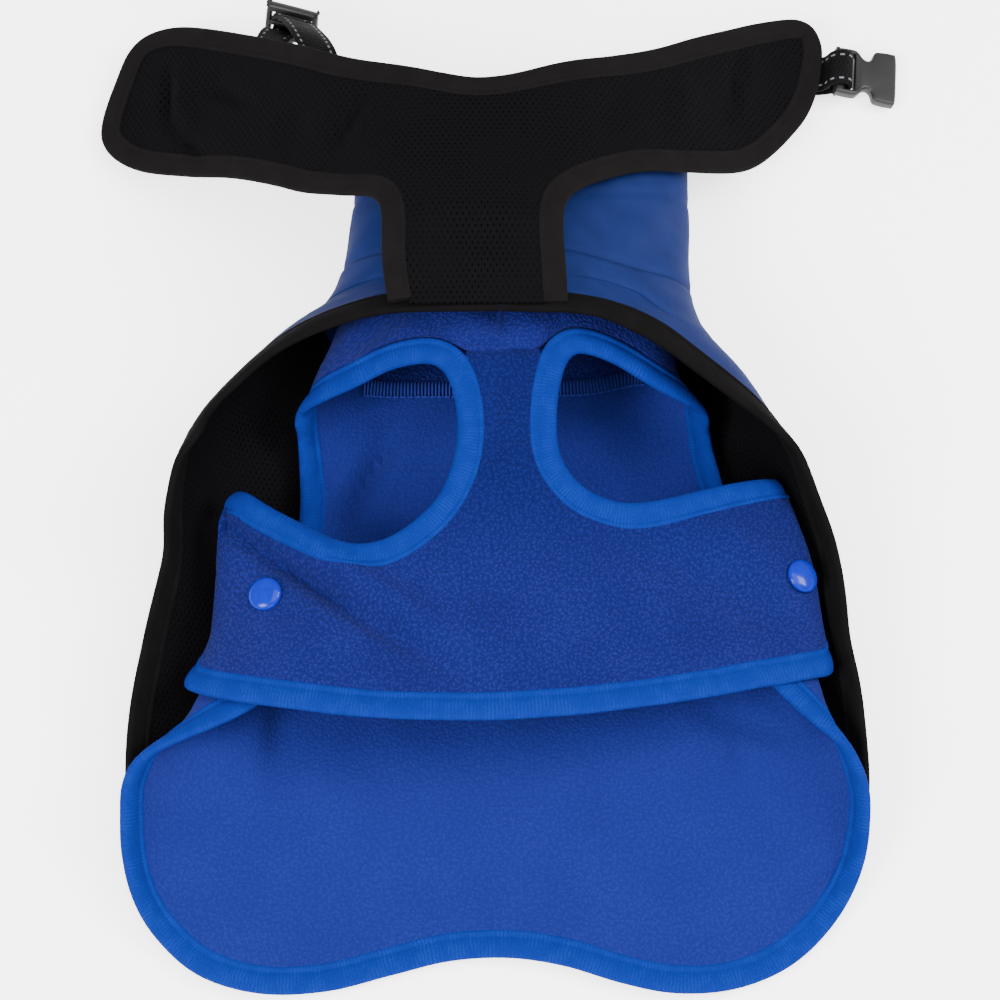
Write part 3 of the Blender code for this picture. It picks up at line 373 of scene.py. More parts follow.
# %% Cut lines
CHEST_EDGE_RIGHT = (  # x, y: the coat's chest end, from the middle of the belly to the side
    (0, 47), (25, 47), (38, 46), (53, 40.5), (64, 34), (72, 28.5), (85, 20.5), (97, 12.5),
)
CHEST_EDGE_LEFT = (
    (-110, 6), (-106, 16), (-99, 26), (-86, 37), (-72, 42.5), (-58, 46), (-42, 48.5), (-20, 47.5), (0, 47),
)
COAT_EDGE = (  # s, y: the coat's sides and tail, from right to left
    (137, 2), (136, -16), (137, -43), (139, -72), (138.5, -97), (137, -114), (132, -129), (123, -143),
    (110, -155), (95, -166), (77, -174), (60, -176), (42, -171), (22, -165), (5, -162.5), (-20, -164),
    (-40, -169), (-62, -175.5), (-80, -176.5), (-95, -173), (-109, -166), (-122, -154), (-130, -141),
    (-136.5, -121), (-139, -97), (-136, -64), (-133, -36), (-139, -14),
)
NECK_SEAM_LEFT = (  # share of half the girth, from the back to the belly, and y
    (0, 54), (0.30, 57), (0.48, 63), (0.56, 64.5), (0.66, 66.5), (0.75, 67), (0.86, 65.5), (1, 64.5),
)
NECK_SEAM_RIGHT = (
    (0, 54), (0.30, 51.5), (0.50, 48.5), (0.60, 47.5), (0.66, 53), (0.71, 60), (0.78, 63.5), (0.86, 64.5),
    (1, 64.5),
)
COLLAR_SEAM_LEFT = ((0, 75), (0.30, 77), (0.46, 79), (0.64, 78.5), (0.75, 78.5), (1, 77))
COLLAR_SEAM_RIGHT = ((0, 75), (0.30, 72), (0.50, 70.5), (0.67, 71), (0.75, 72.5), (0.86, 75.5), (1, 77))
VEST_EDGE = (  # s, y: the vest's back panel, from its left armhole round tab, tail and tab to the right one
    (-75.5, -20.5), (-78, -32), (-86, -42), (-101, -46.5), (-118, -47), (-134, -46.5), (-147, -48.5),
    (-157, -56), (-161, -68), (-160, -80), (-156, -91), (-150.3, -101), (-145, -112), (-141, -124),
    (-137.5, -139), (-131, -155), (-120, -169), (-104, -181.5), (-83, -187.5), (-60, -186.5), (-38, -181),
    (-18, -176), (3, -174.7), (22, -177.5), (42, -183.5), (61, -187.2), (81, -186), (100, -178.5),
    (115, -165.5), (127.5, -149), (136, -131.5), (140.5, -116), (144, -103), (149, -91), (154, -80.5),
    (157.5, -68), (155, -55), (145, -48), (132, -45.5), (117, -44.5), (103, -38), (92, -25), (88, -8.5),
)
ARMHOLE_LEFT = (  # the seam of the armhole's tape: s, y on the back panel and t, y on the front panel
    ("s", -66, -19.5), ("s", -66, -9), ("s", -66.3, 4), ("s", -67.5, 14), ("s", -71, 23), ("s", -78, 29.5),
    ("s", -88, 32.8), ("t", -56, 36), ("t", -44, 40.5), ("t", -32, 42.5), ("t", -23, 42), ("t", -16, 38.5),
    ("t", -10.5, 31.5), ("t", -7.2, 21), ("t", -6, 9.5), ("t", -6.6, -1), ("t", -9.3, -12),
    ("t", -14.3, -22), ("t", -21.5, -30.5), ("t", -30, -37.3), ("t", -40, -42), ("t", -52, -43.3),
    ("t", -63, -40.5), ("t", -76, -33.3), ("t", -91, -24.8), ("t", -100, -20.5), ("t", -107, -19),
)
ARMHOLE_RIGHT = (
    ("s", 76.5, -5.5), ("s", 74.3, 3.5), ("s", 72.5, 13), ("s", 72.5, 21), ("s", 76, 27.5), ("s", 84, 31.7),
    ("s", 94, 35.2), ("t", 53, 39.5), ("t", 46, 43), ("t", 38, 45.8), ("t", 31, 47), ("t", 25, 46.3),
    ("t", 18.5, 42), ("t", 14.5, 34), ("t", 12, 23), ("t", 11, 11.5), ("t", 11.6, 0), ("t", 15.3, -10.5),
    ("t", 22.5, -19.5), ("t", 32, -25.5), ("t", 43, -28.3), ("t", 55, -27.5), ("t", 74, -22),
    ("t", 91, -16), ("t", 109, -9.8),
)
BAND_EDGE = (  # t, y: the belly band's free edge, from its left upper corner to its right one
    (-121, -36), (-123.5, -43), (-125.5, -51), (-126, -60), (-125, -70), (-120, -79), (-109, -85.5),
    (-96, -89.5), (-83, -92.5), (-69, -95), (-42, -99), (-17, -100), (7, -99.5), (34, -97), (70, -91),
    (98, -84), (115, -79.5), (126, -75), (132, -67), (133.5, -56), (131.5, -45), (128, -35),
)
VEST_NECK_LEFT = (  # share of half the girth and y, where the vest's collar meets body and armhole tape
    (0, 42.6), (0.33, 42.6), (0.40, 40.6), (0.46, 35.8), (0.51, 32.6), (0.59, 34.4), (0.65, 36.8),
    (0.714, 41.6), (0.79, 43.6), (0.85, 43.1), (0.895, 40), (0.93, 37.6), (1, 37.4),
)
VEST_NECK_RIGHT = (
    (0, 42.6), (0.2, 43.3), (0.335, 46), (0.41, 44.2), (0.465, 38.6), (0.53, 34.8), (0.62, 37),
    (0.65, 40.6), (0.70, 44.4), (0.75, 46.8), (0.79, 48), (0.83, 47.6), (0.87, 44.4), (0.905, 39.5),
    (0.935, 37.6), (1, 37.4),
)
FLAP_EDGE = (  # x, y: from the right foot of the stem round both wings to its left foot
    (24, 50.5), (23, 66), (22.5, 81), (26, 91), (36, 100), (51, 108.5), (70, 115), (88, 122), (98, 129),
    (109, 142), (118, 155), (123, 168), (126, 184), (125, 192), (121, 197.5), (113, 198), (98, 191),
    (75, 176.5), (52, 162), (24, 151), (7, 145.5), (-7, 143.5), (-19, 145), (-37, 149), (-57, 156.5),
    (-75, 167), (-95, 178), (-115, 188), (-128, 192.5), (-138, 192), (-145, 186), (-150, 173),
    (-154, 158), (-154, 148), (-148, 139), (-137, 131.5), (-119, 124), (-102, 117.5), (-84, 108),
    (-72, 100.5), (-58, 94.5), (-47, 90.5), (-42.5, 84), (-42, 66), (-40, 50.5),
)
FRONT_NECK_Y = 36.8
CHEST_SEAM_Y = 38.0  # the seam between the vest's chest and collar
NECK_SEAMS = (NECK_SEAM_LEFT, NECK_SEAM_RIGHT)
COLLAR_SEAMS = (COLLAR_SEAM_LEFT, COLLAR_SEAM_RIGHT)
VEST_NECK = (VEST_NECK_LEFT, VEST_NECK_RIGHT)
COLLAR_TOP_STITCH = (  # share of half the girth and y: the line of stitches nearer the collar's mouth
    ((0, 108), (0.5, 107), (0.75, 101), (1, 98.5)),
    ((0, 108), (0.54, 108), (0.61, 106), (0.78, 100), (1, 98)),
)

# %% [markdown]
# ## Lines on a form
#
# `curve` runs a smooth line through a table's points, and `across` walks sideways from it on the cloth,
# which gives every line that lies a given width inside an edge.

# %% Lines on a form
def curve(points, spacing, closed=False):
    """Even steps along a smooth (Catmull-Rom) line through the points."""
    p = np.array(points, float)
    before, after = (p[-1:], p[:2]) if closed else (2 * p[:1] - p[1:2], 2 * p[-1:] - p[-2:-1])
    ring = np.concatenate([before, p, after])
    u = np.linspace(0, 1, 24, endpoint=False)[:, None]
    pieces = []
    for a, b, c, d in zip(ring[:-3], ring[1:-2], ring[2:-1], ring[3:]):
        square, cube = 2 * a - 5 * b + 4 * c - d, 3 * b - a - 3 * c + d
        pieces.append(b + 0.5 * (u * (c - a) + u**2 * square + u**3 * cube))
    dense = np.concatenate(pieces + [p[:1] if closed else p[-1:]])
    along = lengths(dense)
    count = max(2, round(along[-1] / spacing))
    want = np.linspace(0, along[-1], count + 1)
    line = np.stack([np.interp(want, along, column) for column in dense.T], axis=1)
    return line[:-1] if closed else line


def thinned(line, least):
    """The line without the points that lie nearer than least to the one kept before them."""
    kept = [line[0]]
    for point in line[1:]:
        if np.linalg.norm(point - kept[-1]) >= least:
            kept.append(point)
    return np.array(kept)


def by_share(f, left, right):
    """A seam's y at each share of half the girth, from its tables for the left (f < 0) and the right."""
    left, right = np.array(left, float), np.array(right, float)
    share = np.abs(f)
    return np.where(f < 0, smooth(share, left[:, 0], left[:, 1]), smooth(share, right[:, 0], right[:, 1]))


def raised(seams, by):
    """The same seams, moved by that much towards the head."""
    return tuple(tuple((f, y + by) for f, y in table) for table in seams)


def level(y):
    """A straight seam round the form, in the form of a pair of tables."""
    return (((0, y), (0.5, y), (1, y)),) * 2


def lengths(p):
    """The distance run at each point of a line, or of lines side by side, along the first axis."""
    step = np.linalg.norm(np.diff(p, axis=0), axis=-1)
    return np.concatenate([np.zeros_like(step[:1]), np.cumsum(step, axis=0)])


def across(place, line, distance, steps=5):
    """The line at even steps of a walk of that distance to its left: an array of steps + 1 lines."""
    p = np.array(line, float)
    forward = np.gradient(place(p[:, 0], p[:, 1]), axis=0)
    e, walk = 0.5, [p.copy()]
    for _ in range(steps):
        along_s = (place(p[:, 0] + e, p[:, 1]) - place(p[:, 0] - e, p[:, 1])) / (2 * e)
        along_y = (place(p[:, 0], p[:, 1] + e) - place(p[:, 0], p[:, 1] - e)) / (2 * e)
        side = np.cross(np.cross(along_s, along_y), forward)
        side /= np.linalg.norm(side, axis=1, keepdims=True)
        ss, sy, yy = (along_s**2).sum(1), (along_s * along_y).sum(1), (along_y**2).sum(1)
        a, b = (side * along_s).sum(1), (side * along_y).sum(1)
        step = np.stack([a * yy - b * sy, b * ss - a * sy], axis=1) / (ss * yy - sy * sy)[:, None]
        p = p + step * distance / steps
        walk.append(p)
    return np.array(walk)


def aside(place, line, distance):
    """The last line of that walk."""
    return across(place, line, distance)[-1]


def at_middle(y):
    """The s of the coat tape's two ends, half a seam gap to each side of the middle of the belly."""
    return COAT.half_girth(y[:1], True)[0] - SEAM_GAP / 2, SEAM_GAP / 2 - COAT.half_girth(y[1:], False)[0]


def armhole(table):
    """The armhole's seam as one line in (s, y), smoothed in s on the back panel and in t on the front."""
    rows = []
    for kind, a, y in table:
        other = float(turned(VEST, [a], [y])[0])
        rows.append((a, other, y, 0.0) if kind == "s" else (other, a, y, 1.0))
    s, t, y, front = curve(rows, 2.8).T
    front = ease(front)
    return np.column_stack([(1 - front) * s + front * turned(VEST, t, y), y])


def front_part(line, right, inner=40, clear=1.5):
    """The armhole line's part on the front panel, in (t, y) from the neck seam to the band's corner.

    It starts at the line's highest point within inner of the middle, and clear of the neck seam.
    """
    sign = 1 if right else -1
    t = VEST.half_girth(line[:, 1], right) - np.abs(line[:, 0])
    top = int(np.argmax(np.where(t < inner, line[:, 1], -np.inf)))
    rows = np.column_stack([sign * t, line[:, 1]])[top:]
    return rows[rows[:, 1] < FRONT_NECK_Y - clear]


def meet(a, b, clear=2.5):
    """Two lines cut where they cross: the first up to the crossing, the second from the crossing."""
    for i in range(len(a) - 1, 0, -1):
        for j in range(len(b) - 1):
            r, q = a[i] - a[i - 1], b[j + 1] - b[j]
            area = r[0] * q[1] - r[1] * q[0]
            if abs(area) < 1e-9:
                continue
            d = b[j] - a[i - 1]
            u, v = (d[0] * q[1] - d[1] * q[0]) / area, (d[0] * r[1] - d[1] * r[0]) / area
            if 0 <= u <= 1 and 0 <= v <= 1:
                point = a[i - 1] + u * r
                keep_a = a[:i][np.linalg.norm(a[:i] - point, axis=1) > clear]
                keep_b = b[j + 1:][np.linalg.norm(b[j + 1:] - point, axis=1) > clear]
                return np.concatenate([keep_a, [point]]), keep_b
    return a, b


def turn_of(line, neck, right, from_share=0.44, clear=3.2):
    """How many points of an armhole's line lie on the back panel: those before it meets the neck seam."""
    table = np.array(neck, float)
    for i, (s, y) in enumerate(line):
        f = abs(s) / VEST.half_girth(y, right)[0]
        if f > from_share and y > float(smooth(np.array([f]), table[:, 0], table[:, 1])[0]) - clear:
            return i
    return len(line)


# %% [markdown]
# ## Folds
#
# A fold is a soft trough or ridge along a short bowed line. Its height falls away across the line like a
# bell, and along it like half a wave. A table row is one fold, and their sum moves the cloth off its form.

# %% Folds
FOLD = ("a0", "b0", "a1", "b1", "bow", "width", "height")
COAT_FOLDS = (  # s, y: height is towards the inside
    (-125, -20, -150, -60, 3, 6, 1.2), (-120, 15, -100, -25, -4, 7, -1.5), (120, -30, 150, -80, 3, 7, 1.3),
)
FRONT_FOLDS = (  # t, y: height is towards the belly side
    (-116, -15, -6, -89, 0, 4.4, -4.4), (-112, -16, -36, -71, 0, 2.4, -2.8),
    (-104, -8, -14, -70, 0, 4.5, 3.4), (-84, -24, -6, -77, 2, 7, 1.2), (-100, -50, -62, -84, 0, 9, 1.2),
    (34, -28, 106, -66, -3, 10, -2.8), (60, -24, 112, -40, 0, 8, 1.6), (-2.5, 32, -2, -10, 0, 2.8, -1.9),
    (3, 24, 6, -20, 0, 6, 0.8), (10, 20, 14, -18, 0, 5, -0.7), (-40, -62, 40, -70, 6, 14, 0.8),
    (96, -66, 104, -92, 0, 6, -1.4),
)
BACK_FOLDS = (  # s, y: height is towards the inside
    (-34, 30, -66, -24, 1, 2.5, -3.3), (-44, 30, -72, -14, 0, 4.5, 3.4), (-28, 30, -56, -28, 0, 4.5, 2.4),
    (34, 30, 56, 0, -2, 8, -1.0), (-102, -91, -70, -111, 2, 9, -0.5), (66, -82, 116, -100, 0, 5, -2.0),
    (106, -74, 120, -94, 0, 4, 1.8), (124, -136, 98, -154, 0, 3, -1.6), (116, -132, 92, -146, 0, 4, 1.0),
    (-35, -110, -60, -160, 4, 14, 0.9), (30, -105, 70, -150, -5, 16, -0.8),
    (-110, -120, -84, -158, 3, 9, 0.8),
)
NECK_FOLDS = (  # t, y: height is towards the belly side
    (-1, 66, -1.5, 44, 0, 2.6, -1.6), (12, 38, 24, 54, 1, 2.4, -1.8), (-14, 37, -27, 52, -1, 3, -1.4),
    (4, 60, 16, 42, 0, 4, 1.0), (-20, 60, -6, 44, 0, 4, 0.9), (34, 46, 52, 56, 0, 4, -1.2),
    (-60, 38, -40, 54, 0, 5, -1.2),
)
FLAP_FOLDS = (  # x, y: height is upwards
    (-127, 178, -125, 140, 1, 1.8, -2.6), (-127, 150, -110, 126, 0, 2.0, -2.4),
    (-122, 170, -119, 140, 0, 3.0, 1.8), (-113, 162, -90, 143, 0, 2.4, -2.0),
    (-106, 165, -86, 149, 0, 3, 1.4), (-46, 142, -62, 112, 2, 2.4, -2.4), (-41, 140, -54, 115, 0, 3, 1.6),
    (-28, 92, -37, 72, 0, 3, -1.4), (-68, 152, -76, 114, 3, 6, -1.2), (91, 182, 83, 138, -2, 2.2, -2.0),
    (96, 180, 89, 142, 0, 3, 1.2), (55, 152, 36, 122, 3, 5, -1.5), (22, 134, 14, 92, 0, 7, -1.2),
    (72, 158, 63, 132, 0, 3, 1.2), (10, 130, -30, 120, 0, 10, 1.0), (-44, 87, 28, 80, 0, 5, 1.8),
    (-44, 74, 28, 69, 0, 5, -1.6), (-46, 51, 30, 51, 0, 4, -1.6),
)
COLLAR_FOLDS = (  # s, y: height is towards the inside
    (90, 66, 130, 60, 2, 5, -1.0), (100, 90, 120, 75, 0, 6, 0.8),
)


def folds(rows, a, b):
    """Sum of height * exp(-(d / width)^2) * sin(pi * u), u along each fold's line and d off its bow."""
    a, b = np.broadcast_arrays(np.asarray(a, float), np.asarray(b, float))
    row = dict(zip(FOLD, np.array(rows, float).T))
    run = np.stack([row["a1"] - row["a0"], row["b1"] - row["b0"]])
    length = np.hypot(*run)
    da, db = a[:, None] - row["a0"], b[:, None] - row["b0"]
    u = np.clip((da * run[0] + db * run[1]) / length**2, 0, 1)
    d = (da * run[1] - db * run[0]) / length - row["bow"] * 4 * u * (1 - u)
    return (row["height"] * np.exp(-((d / row["width"]) ** 2)) * np.sin(np.pi * u)).sum(1)


def uneven(a, b, height, size=30.0, seed=0.0):
    """A slow, low unevenness: four crossing waves of about that size."""
    a, b = np.asarray(a, float) / size, np.asarray(b, float) / size
    return height * 0.4 * (
        np.sin(2.1 * a + 1.3 * b + seed) + np.sin(-1.7 * a + 2.3 * b + 2 * seed + 1)
        + np.sin(3.3 * a - 1.1 * b + 3 * seed + 2) + 0.7 * np.sin(4.9 * a + 3.7 * b + seed + 3)
    )


def from_belly(s, y, calm=14):
    """0 on the middle of the belly and 1 from calm mm away, so that both sides meet there."""
    return ease((girth_of(COAT, s, y) - np.abs(s)) / calm)


def on_coat(s, y, depth=0.0):
    return COAT.place(s, y, depth + folds(COAT_FOLDS, s, y) + from_belly(s, y) * uneven(s, y, 0.5, 26, 1))


def stitch_dent(s, y, seams, depth, width=1.3):
    """How far a stitched seam round the collar draws the cloth in: depth * exp(-(distance / width)^2)."""
    share = np.asarray(s, float) / girth_of(COAT, s, y)
    return depth * np.exp(-(((y - by_share(share, *seams)) / width) ** 2))


def on_collar(s, y, depth=0.0):
    """The collar is calm near the neck seam, where it meets the coat."""
    calm = ease((np.asarray(y, float) - 64) / 12) * from_belly(s, y)
    dents = stitch_dent(s, y, COLLAR_SEAMS, 0.7) + stitch_dent(s, y, COLLAR_TOP_STITCH, 0.5)
    return COAT.place(s, y, depth + dents + folds(COLLAR_FOLDS, s, y) + calm * uneven(s, y, 0.7, 18, 2))


def back_relief(s, y):
    return folds(BACK_FOLDS, s, y) + uneven(s, y, 0.4, 30, 3)


def front_relief(t, y):
    return folds(FRONT_FOLDS, t, y) + uneven(t, y, 0.5, 24, 4)


CORNER_CURL = (3.0, 3.6)  # how far the band's left upper corner is drawn out to the side and up


def band_corner(t, y):
    """The share of that curl: 1 at the corner, and 0 a finger's width away on every side."""
    sideways = ease((-82 - t) / 16) * ease((t + 134) / 8)
    return sideways * ease((y + 50) / 24) * ease(-y / 8)


def neck_dip(t, y, deep=1.3, width=2.6):
    """How far the seam between the vest's chest and collar draws both in, up to 17 mm from the middle."""
    across_seam = np.exp(-(((np.asarray(y, float) - CHEST_SEAM_Y) / width) ** 2))
    return deep * across_seam * ease((17 - np.abs(t)) / 5)


def on_back(s, y, depth=0.0):
    return vest_back(s, y, depth + back_relief(s, y))


def on_front(t, y, depth=0.0):
    t, y = np.asarray(t, float), np.asarray(y, float)
    curl = band_corner(t, y)
    inward = depth - front_relief(t, y) + neck_dip(t, y)
    return vest_front(t - CORNER_CURL[0] * curl, y + CORNER_CURL[1] * curl, inward)


def on_armhole(s, y, depth=0.0):
    """The armhole's tape follows the back panel's folds low down and the front panel's higher up."""
    s, y = np.asarray(s, float), np.asarray(y, float)
    t = turned(VEST, s, y)
    curl = band_corner(t, y)
    front = ease((np.abs(s) / girth_of(VEST, s, y) - 0.42) / 0.16)
    depth = depth + (1 - front) * back_relief(s, y) - front * front_relief(t, y)
    return VEST.place(s + CORNER_CURL[0] * curl, y + CORNER_CURL[1] * curl, depth)


def on_vest_collar(s, y, depth=0.0):
    """The vest's collar: its puckers are laid out from the middle of the belly, and it is calm there."""
    t = turned(VEST, s, y)
    wave = ease(np.abs(t) / 14) * uneven(s, y, 0.5, 16, 6)
    return VEST.place(s, y, depth - folds(NECK_FOLDS, t, y) + wave + neck_dip(t, y))


def on_flap(x, y, depth=0.0):
    return FLAP.place(x, y, depth + folds(FLAP_FOLDS, x, y) + uneven(x, y, 0.6, 28, 5))


# %% [markdown]
# ## From lines to meshes
#
# Each cloth piece is a closed wall. Its UV map, "cut", holds the place on the flat cut in metres, so a
# weave in the material runs with the cloth and keeps its real scale.

# %% From lines to meshes
def piece(name, points, faces, cut, look, sharp=50):
    """A mesh object from points in millimetres, its faces outwards and the flat cut as its UV map."""
    points = np.array(points, float)
    points[:, 2] = np.maximum(points[:, 2], 0.0)  # nothing sinks into the table
    faces = [list(f) for f in faces]
    tri = np.array([[f[0], f[k], f[k + 1]] for f in faces for k in range(1, len(f) - 1)])
    corner = points[tri]
    if np.einsum("ij,ij->i", corner[:, 0], np.cross(corner[:, 1], corner[:, 2])).sum() < 0:
        faces = [f[::-1] for f in faces]
    mesh = bpy.data.meshes.new(name)
    mesh.from_pydata(((points - MIDDLE) * MM).tolist(), [], faces)
    corners = np.empty(len(mesh.loops), np.int32)
    mesh.loops.foreach_get("vertex_index", corners)
    layer = mesh.uv_layers.new(name="cut")
    layer.data.foreach_set("uv", (np.asarray(cut, float)[corners] * MM).astype(np.float32).ravel())
    mesh.shade_smooth()
    mesh.set_sharp_from_angle(angle=math.radians(sharp))
    mesh.materials.append(look.material)
    item = bpy.data.objects.new(name, mesh)
    bpy.context.scene.collection.objects.link(item)
    print(f"{name}: {len(points)} points")
    return item


def boundary(faces):
    """The directed edges that only one triangle has."""
    edges = {}
    for f in faces:
        for a, b in zip(f, f[1:] + f[:1]):
            edges[(a, b)] = True
    return [(a, b) for a, b in edges if (b, a) not in edges]


def fill(outline, grid, margin):
    """Triangles of a flat outline, with a grid of points inside it that stays a margin off its edge."""
    o = np.array(outline, float)
    low, high = o.min(0), o.max(0)
    ga = np.arange(low[0] + grid[0] / 2, high[0], grid[0])
    gb = np.arange(low[1] + grid[1] / 2, high[1], grid[1])
    inner = np.stack(np.meshgrid(ga, gb), axis=-1).reshape(-1, 2)
    a, b = o, np.roll(o, -1, axis=0)
    run = b - a
    rel = inner[:, None] - a[None]
    t = np.clip((rel * run).sum(-1) / (run**2).sum(-1), 0, 1)
    far = np.linalg.norm(rel - t[..., None] * run, axis=-1).min(1) > margin
    crosses = (a[None, :, 1] > inner[:, None, 1]) != (b[None, :, 1] > inner[:, None, 1])
    slope = run[:, 0] / np.where(run[:, 1] == 0, 1, run[:, 1])
    at = a[None, :, 0] + (inner[:, None, 1] - a[None, :, 1]) * slope
    inside = (crosses & (inner[:, None, 0] < at)).sum(1) % 2 == 1
    points = np.concatenate([o, inner[far & inside]])
    edges = [(i, (i + 1) % len(o)) for i in range(len(o))]
    flat, _, tris, *_ = delaunay_2d_cdt([Vector(p) for p in points], edges, [], 1, 1e-5)
    return np.array([tuple(p) for p in flat]), [list(t) for t in tris]


def panel(name, place, outline, depths, look, grid=3.0, margin=1.6):
    """A cloth wall: the flat cut in triangles, laid at two depths and closed round its rim."""
    flat, tris = fill(outline, (grid, grid), margin)
    n = len(flat)
    points = np.concatenate([place(flat[:, 0], flat[:, 1], d) for d in depths])
    faces = [t[::-1] for t in tris] + [[i + n for i in t] for t in tris]
    faces += [[a, b, b + n, a + n] for a, b in boundary(tris)]
    return piece(name, points, faces, np.tile(flat, (2, 1)), look)


def swept(rings, closed=False):
    """Faces that join rings of equal corner counts, and cap the two ends of an open run."""
    count, corners = rings.shape[:2]
    i, k = np.meshgrid(np.arange(count if closed else count - 1), np.arange(corners), indexing="ij")
    j, m = (i + 1) % count, (k + 1) % corners
    quads = np.stack([i * corners + k, i * corners + m, j * corners + m, j * corners + k], -1)
    faces = quads.reshape(-1, 4).tolist()
    if not closed:
        faces += [list(range(corners))[::-1], list(range((count - 1) * corners, count * corners))]
    return faces


RIB_PROFILE = (  # distance across, half thickness: fold, rolled band, stitched groove, lip
    (0, 0.0), (0.15, 0.6), (0.45, 1.1), (1.0, 1.5), (1.8, 1.82), (2.8, 2.0), (3.8, 2.05), (4.8, 1.98),
    (5.8, 1.8), (6.6, 1.55), (7.2, 1.28), (7.6, 1.12), (8.0, 1.3), (8.4, 1.52), (8.9, 1.58), (9.4, 1.42),
    (9.9, 1.05),
)
RIB_PROFILE_SEAM = tuple((RIB_WIDTH - w + SEAM_GAP, h) for w, h in RIB_PROFILE[::-1])
BINDING_PROFILE = (
    (0, 0.0), (0.12, 0.6), (0.4, 1.05), (0.9, 1.35), (1.8, 1.5), (4.0, 1.52), (6.2, 1.48), (7.0, 1.36),
    (7.5, 1.2), (8.0, 1.42), (8.6, 1.6), (9.2, 1.55), (9.8, 1.3),
)


def calmed(rings, passes):
    """Rings evened out along their run: each pass gives a ring a quarter of each of its two neighbours."""
    for _ in range(passes):
        rings[1:-1] = (rings[:-2] + 2 * rings[1:-1] + rings[2:]) / 4
    return rings


def tape(name, place, line, side, profile, middle, look, cut_on=None, stretch=1.0, ends=None, calm=1):
    """Folded tape along an edge: the profile's two faces carried along the line, to its left if side is 1.

    middle is the depth of the cloth's middle, cut_on the calm form on which the width is walked, and ends
    the place of both ends. The UV map is (along the tape, across it).
    """
    width = profile[-1][0] * stretch
    walk = across(cut_on or place, line, side * width)
    if ends:
        walk[:, 0, 0], walk[:, -1, 0] = zip(*[ends(w[[0, -1], 1]) for w in walk])
    w = np.array([p[0] * stretch for p in profile])
    half = np.array([p[1] for p in profile])
    where = np.concatenate([w, w[-1:0:-1]])
    depth = middle + np.concatenate([-half, half[-1:0:-1]])
    share = where / width * (len(walk) - 1)
    low = np.minimum(share.astype(int), len(walk) - 2)
    part = (share - low)[:, None, None]
    flat = walk[low] * (1 - part) + walk[low + 1] * part
    rings = calmed(np.stack([place(p[:, 0], p[:, 1], d) for p, d in zip(flat, depth)], axis=1), calm)
    edge = place(walk[0][:, 0], walk[0][:, 1], middle)
    along = lengths(edge)
    cut = np.stack(np.broadcast_arrays(along[:, None], where[None, :]), axis=-1)
    made = piece(name, rings.reshape(-1, 3), swept(rings), cut.reshape(-1, 2), look)
    made["length"] = along[-1] * MM
    return made


def tube(name, place, form, lower, upper, depths, look, rows, bulge, around=200):
    """A closed band round the form between two seams, with bulge mm of fullness between them."""
    f = np.linspace(-1, 1, around, endpoint=False)
    low, high = by_share(f, *lower), by_share(f, *upper)
    share = np.linspace(0, 1, rows + 1)[:, None]
    y = (low + (high - low) * share).ravel()
    s = np.tile(f, rows + 1)
    s = s * girth_of(form, s, y)
    out = bulge * np.repeat(np.sin(np.pi * share[:, 0]) ** 0.6, around)
    n = (rows + 1) * around
    points = np.concatenate([place(s, y, d - out) for d in depths])
    r, i = np.meshgrid(np.arange(rows) * around, np.arange(around), indexing="ij")
    j, up = (i + 1) % around, r + around
    wall = np.stack([r + i, r + j, up + j, up + i], -1).reshape(-1, 4)
    i, j, top = i[0], j[0], rows * around
    lower_rim = np.stack([i, i + n, j + n, j], 1)
    upper_rim = top + np.stack([i, j, j + n, i + n], 1)
    faces = np.concatenate([wall, wall[:, ::-1] + n, lower_rim, upper_rim])
    climb = low.mean() + lengths(points[:n].reshape(rows + 1, around, 3)).ravel()
    made = piece(name, points, faces.tolist(), np.tile(np.stack([s, climb], 1), (2, 1)), look)
    layer = made.data.uv_layers["cut"].data  # the faces that close the ring go on past its last column
    uv = np.empty(2 * len(layer), np.float32)
    layer.foreach_get("uv", uv)
    uv = uv.reshape(-1, 4, 2)
    past = (np.ptp(uv[:, :, 0], axis=1) > 0.1)[:, None] & (uv[:, :, 0] < 0)
    uv[:, :, 0] += np.where(past, 2 * s.max() * MM, 0)
    layer.foreach_set("uv", uv.ravel())
    return made


def threads(name, place, flat, depth, behind, half, look, corners=6):
    """Short threads in one mesh: a row of flat's points for each, with the half thickness along it.

    behind is 1 or -1, towards the inside or the outside of the form.
    """
    count, steps = flat.shape[:2]
    a, b = flat.reshape(-1, 2).T
    base = place(a, b, depth).reshape(count, steps, 3)
    up = base - place(a, b, depth + behind).reshape(count, steps, 3)
    forward = np.gradient(base, axis=1)
    forward /= np.linalg.norm(forward, axis=2, keepdims=True)
    side = np.cross(up, forward)
    turn = np.linspace(0, 2 * np.pi, corners, endpoint=False)
    ring = side[:, :, None] * np.cos(turn)[:, None] + up[:, :, None] * np.sin(turn)[:, None]
    points = base[:, :, None] + ring * half[:, None, None]
    one, size = swept(points[0]), steps * corners
    faces = [[i + k * size for i in face] for k in range(count) for face in one]
    return piece(name, points.reshape(-1, 3), faces, np.zeros((count * size, 2)), look, sharp=80)


def stitches(name, place, line, depth, look, length=2.6, pitch=3.2, thick=0.32):
    """A row of short thread ridges along a line on a form."""
    along = lengths(place(line[:, 0], line[:, 1], depth))
    start = np.arange(pitch / 2, along[-1] - pitch, pitch)
    at = start[:, None] + np.array([0, 0.12, 0.3, 0.5, 0.7, 0.88, 1.0]) * length
    flat = np.stack([np.interp(at, along, line[:, k]) for k in (0, 1)], -1)
    half = thick / 2 * np.array([0.25, 0.75, 1, 1, 1, 0.75, 0.25])
    return threads(name, place, flat, depth, 1, half, look)


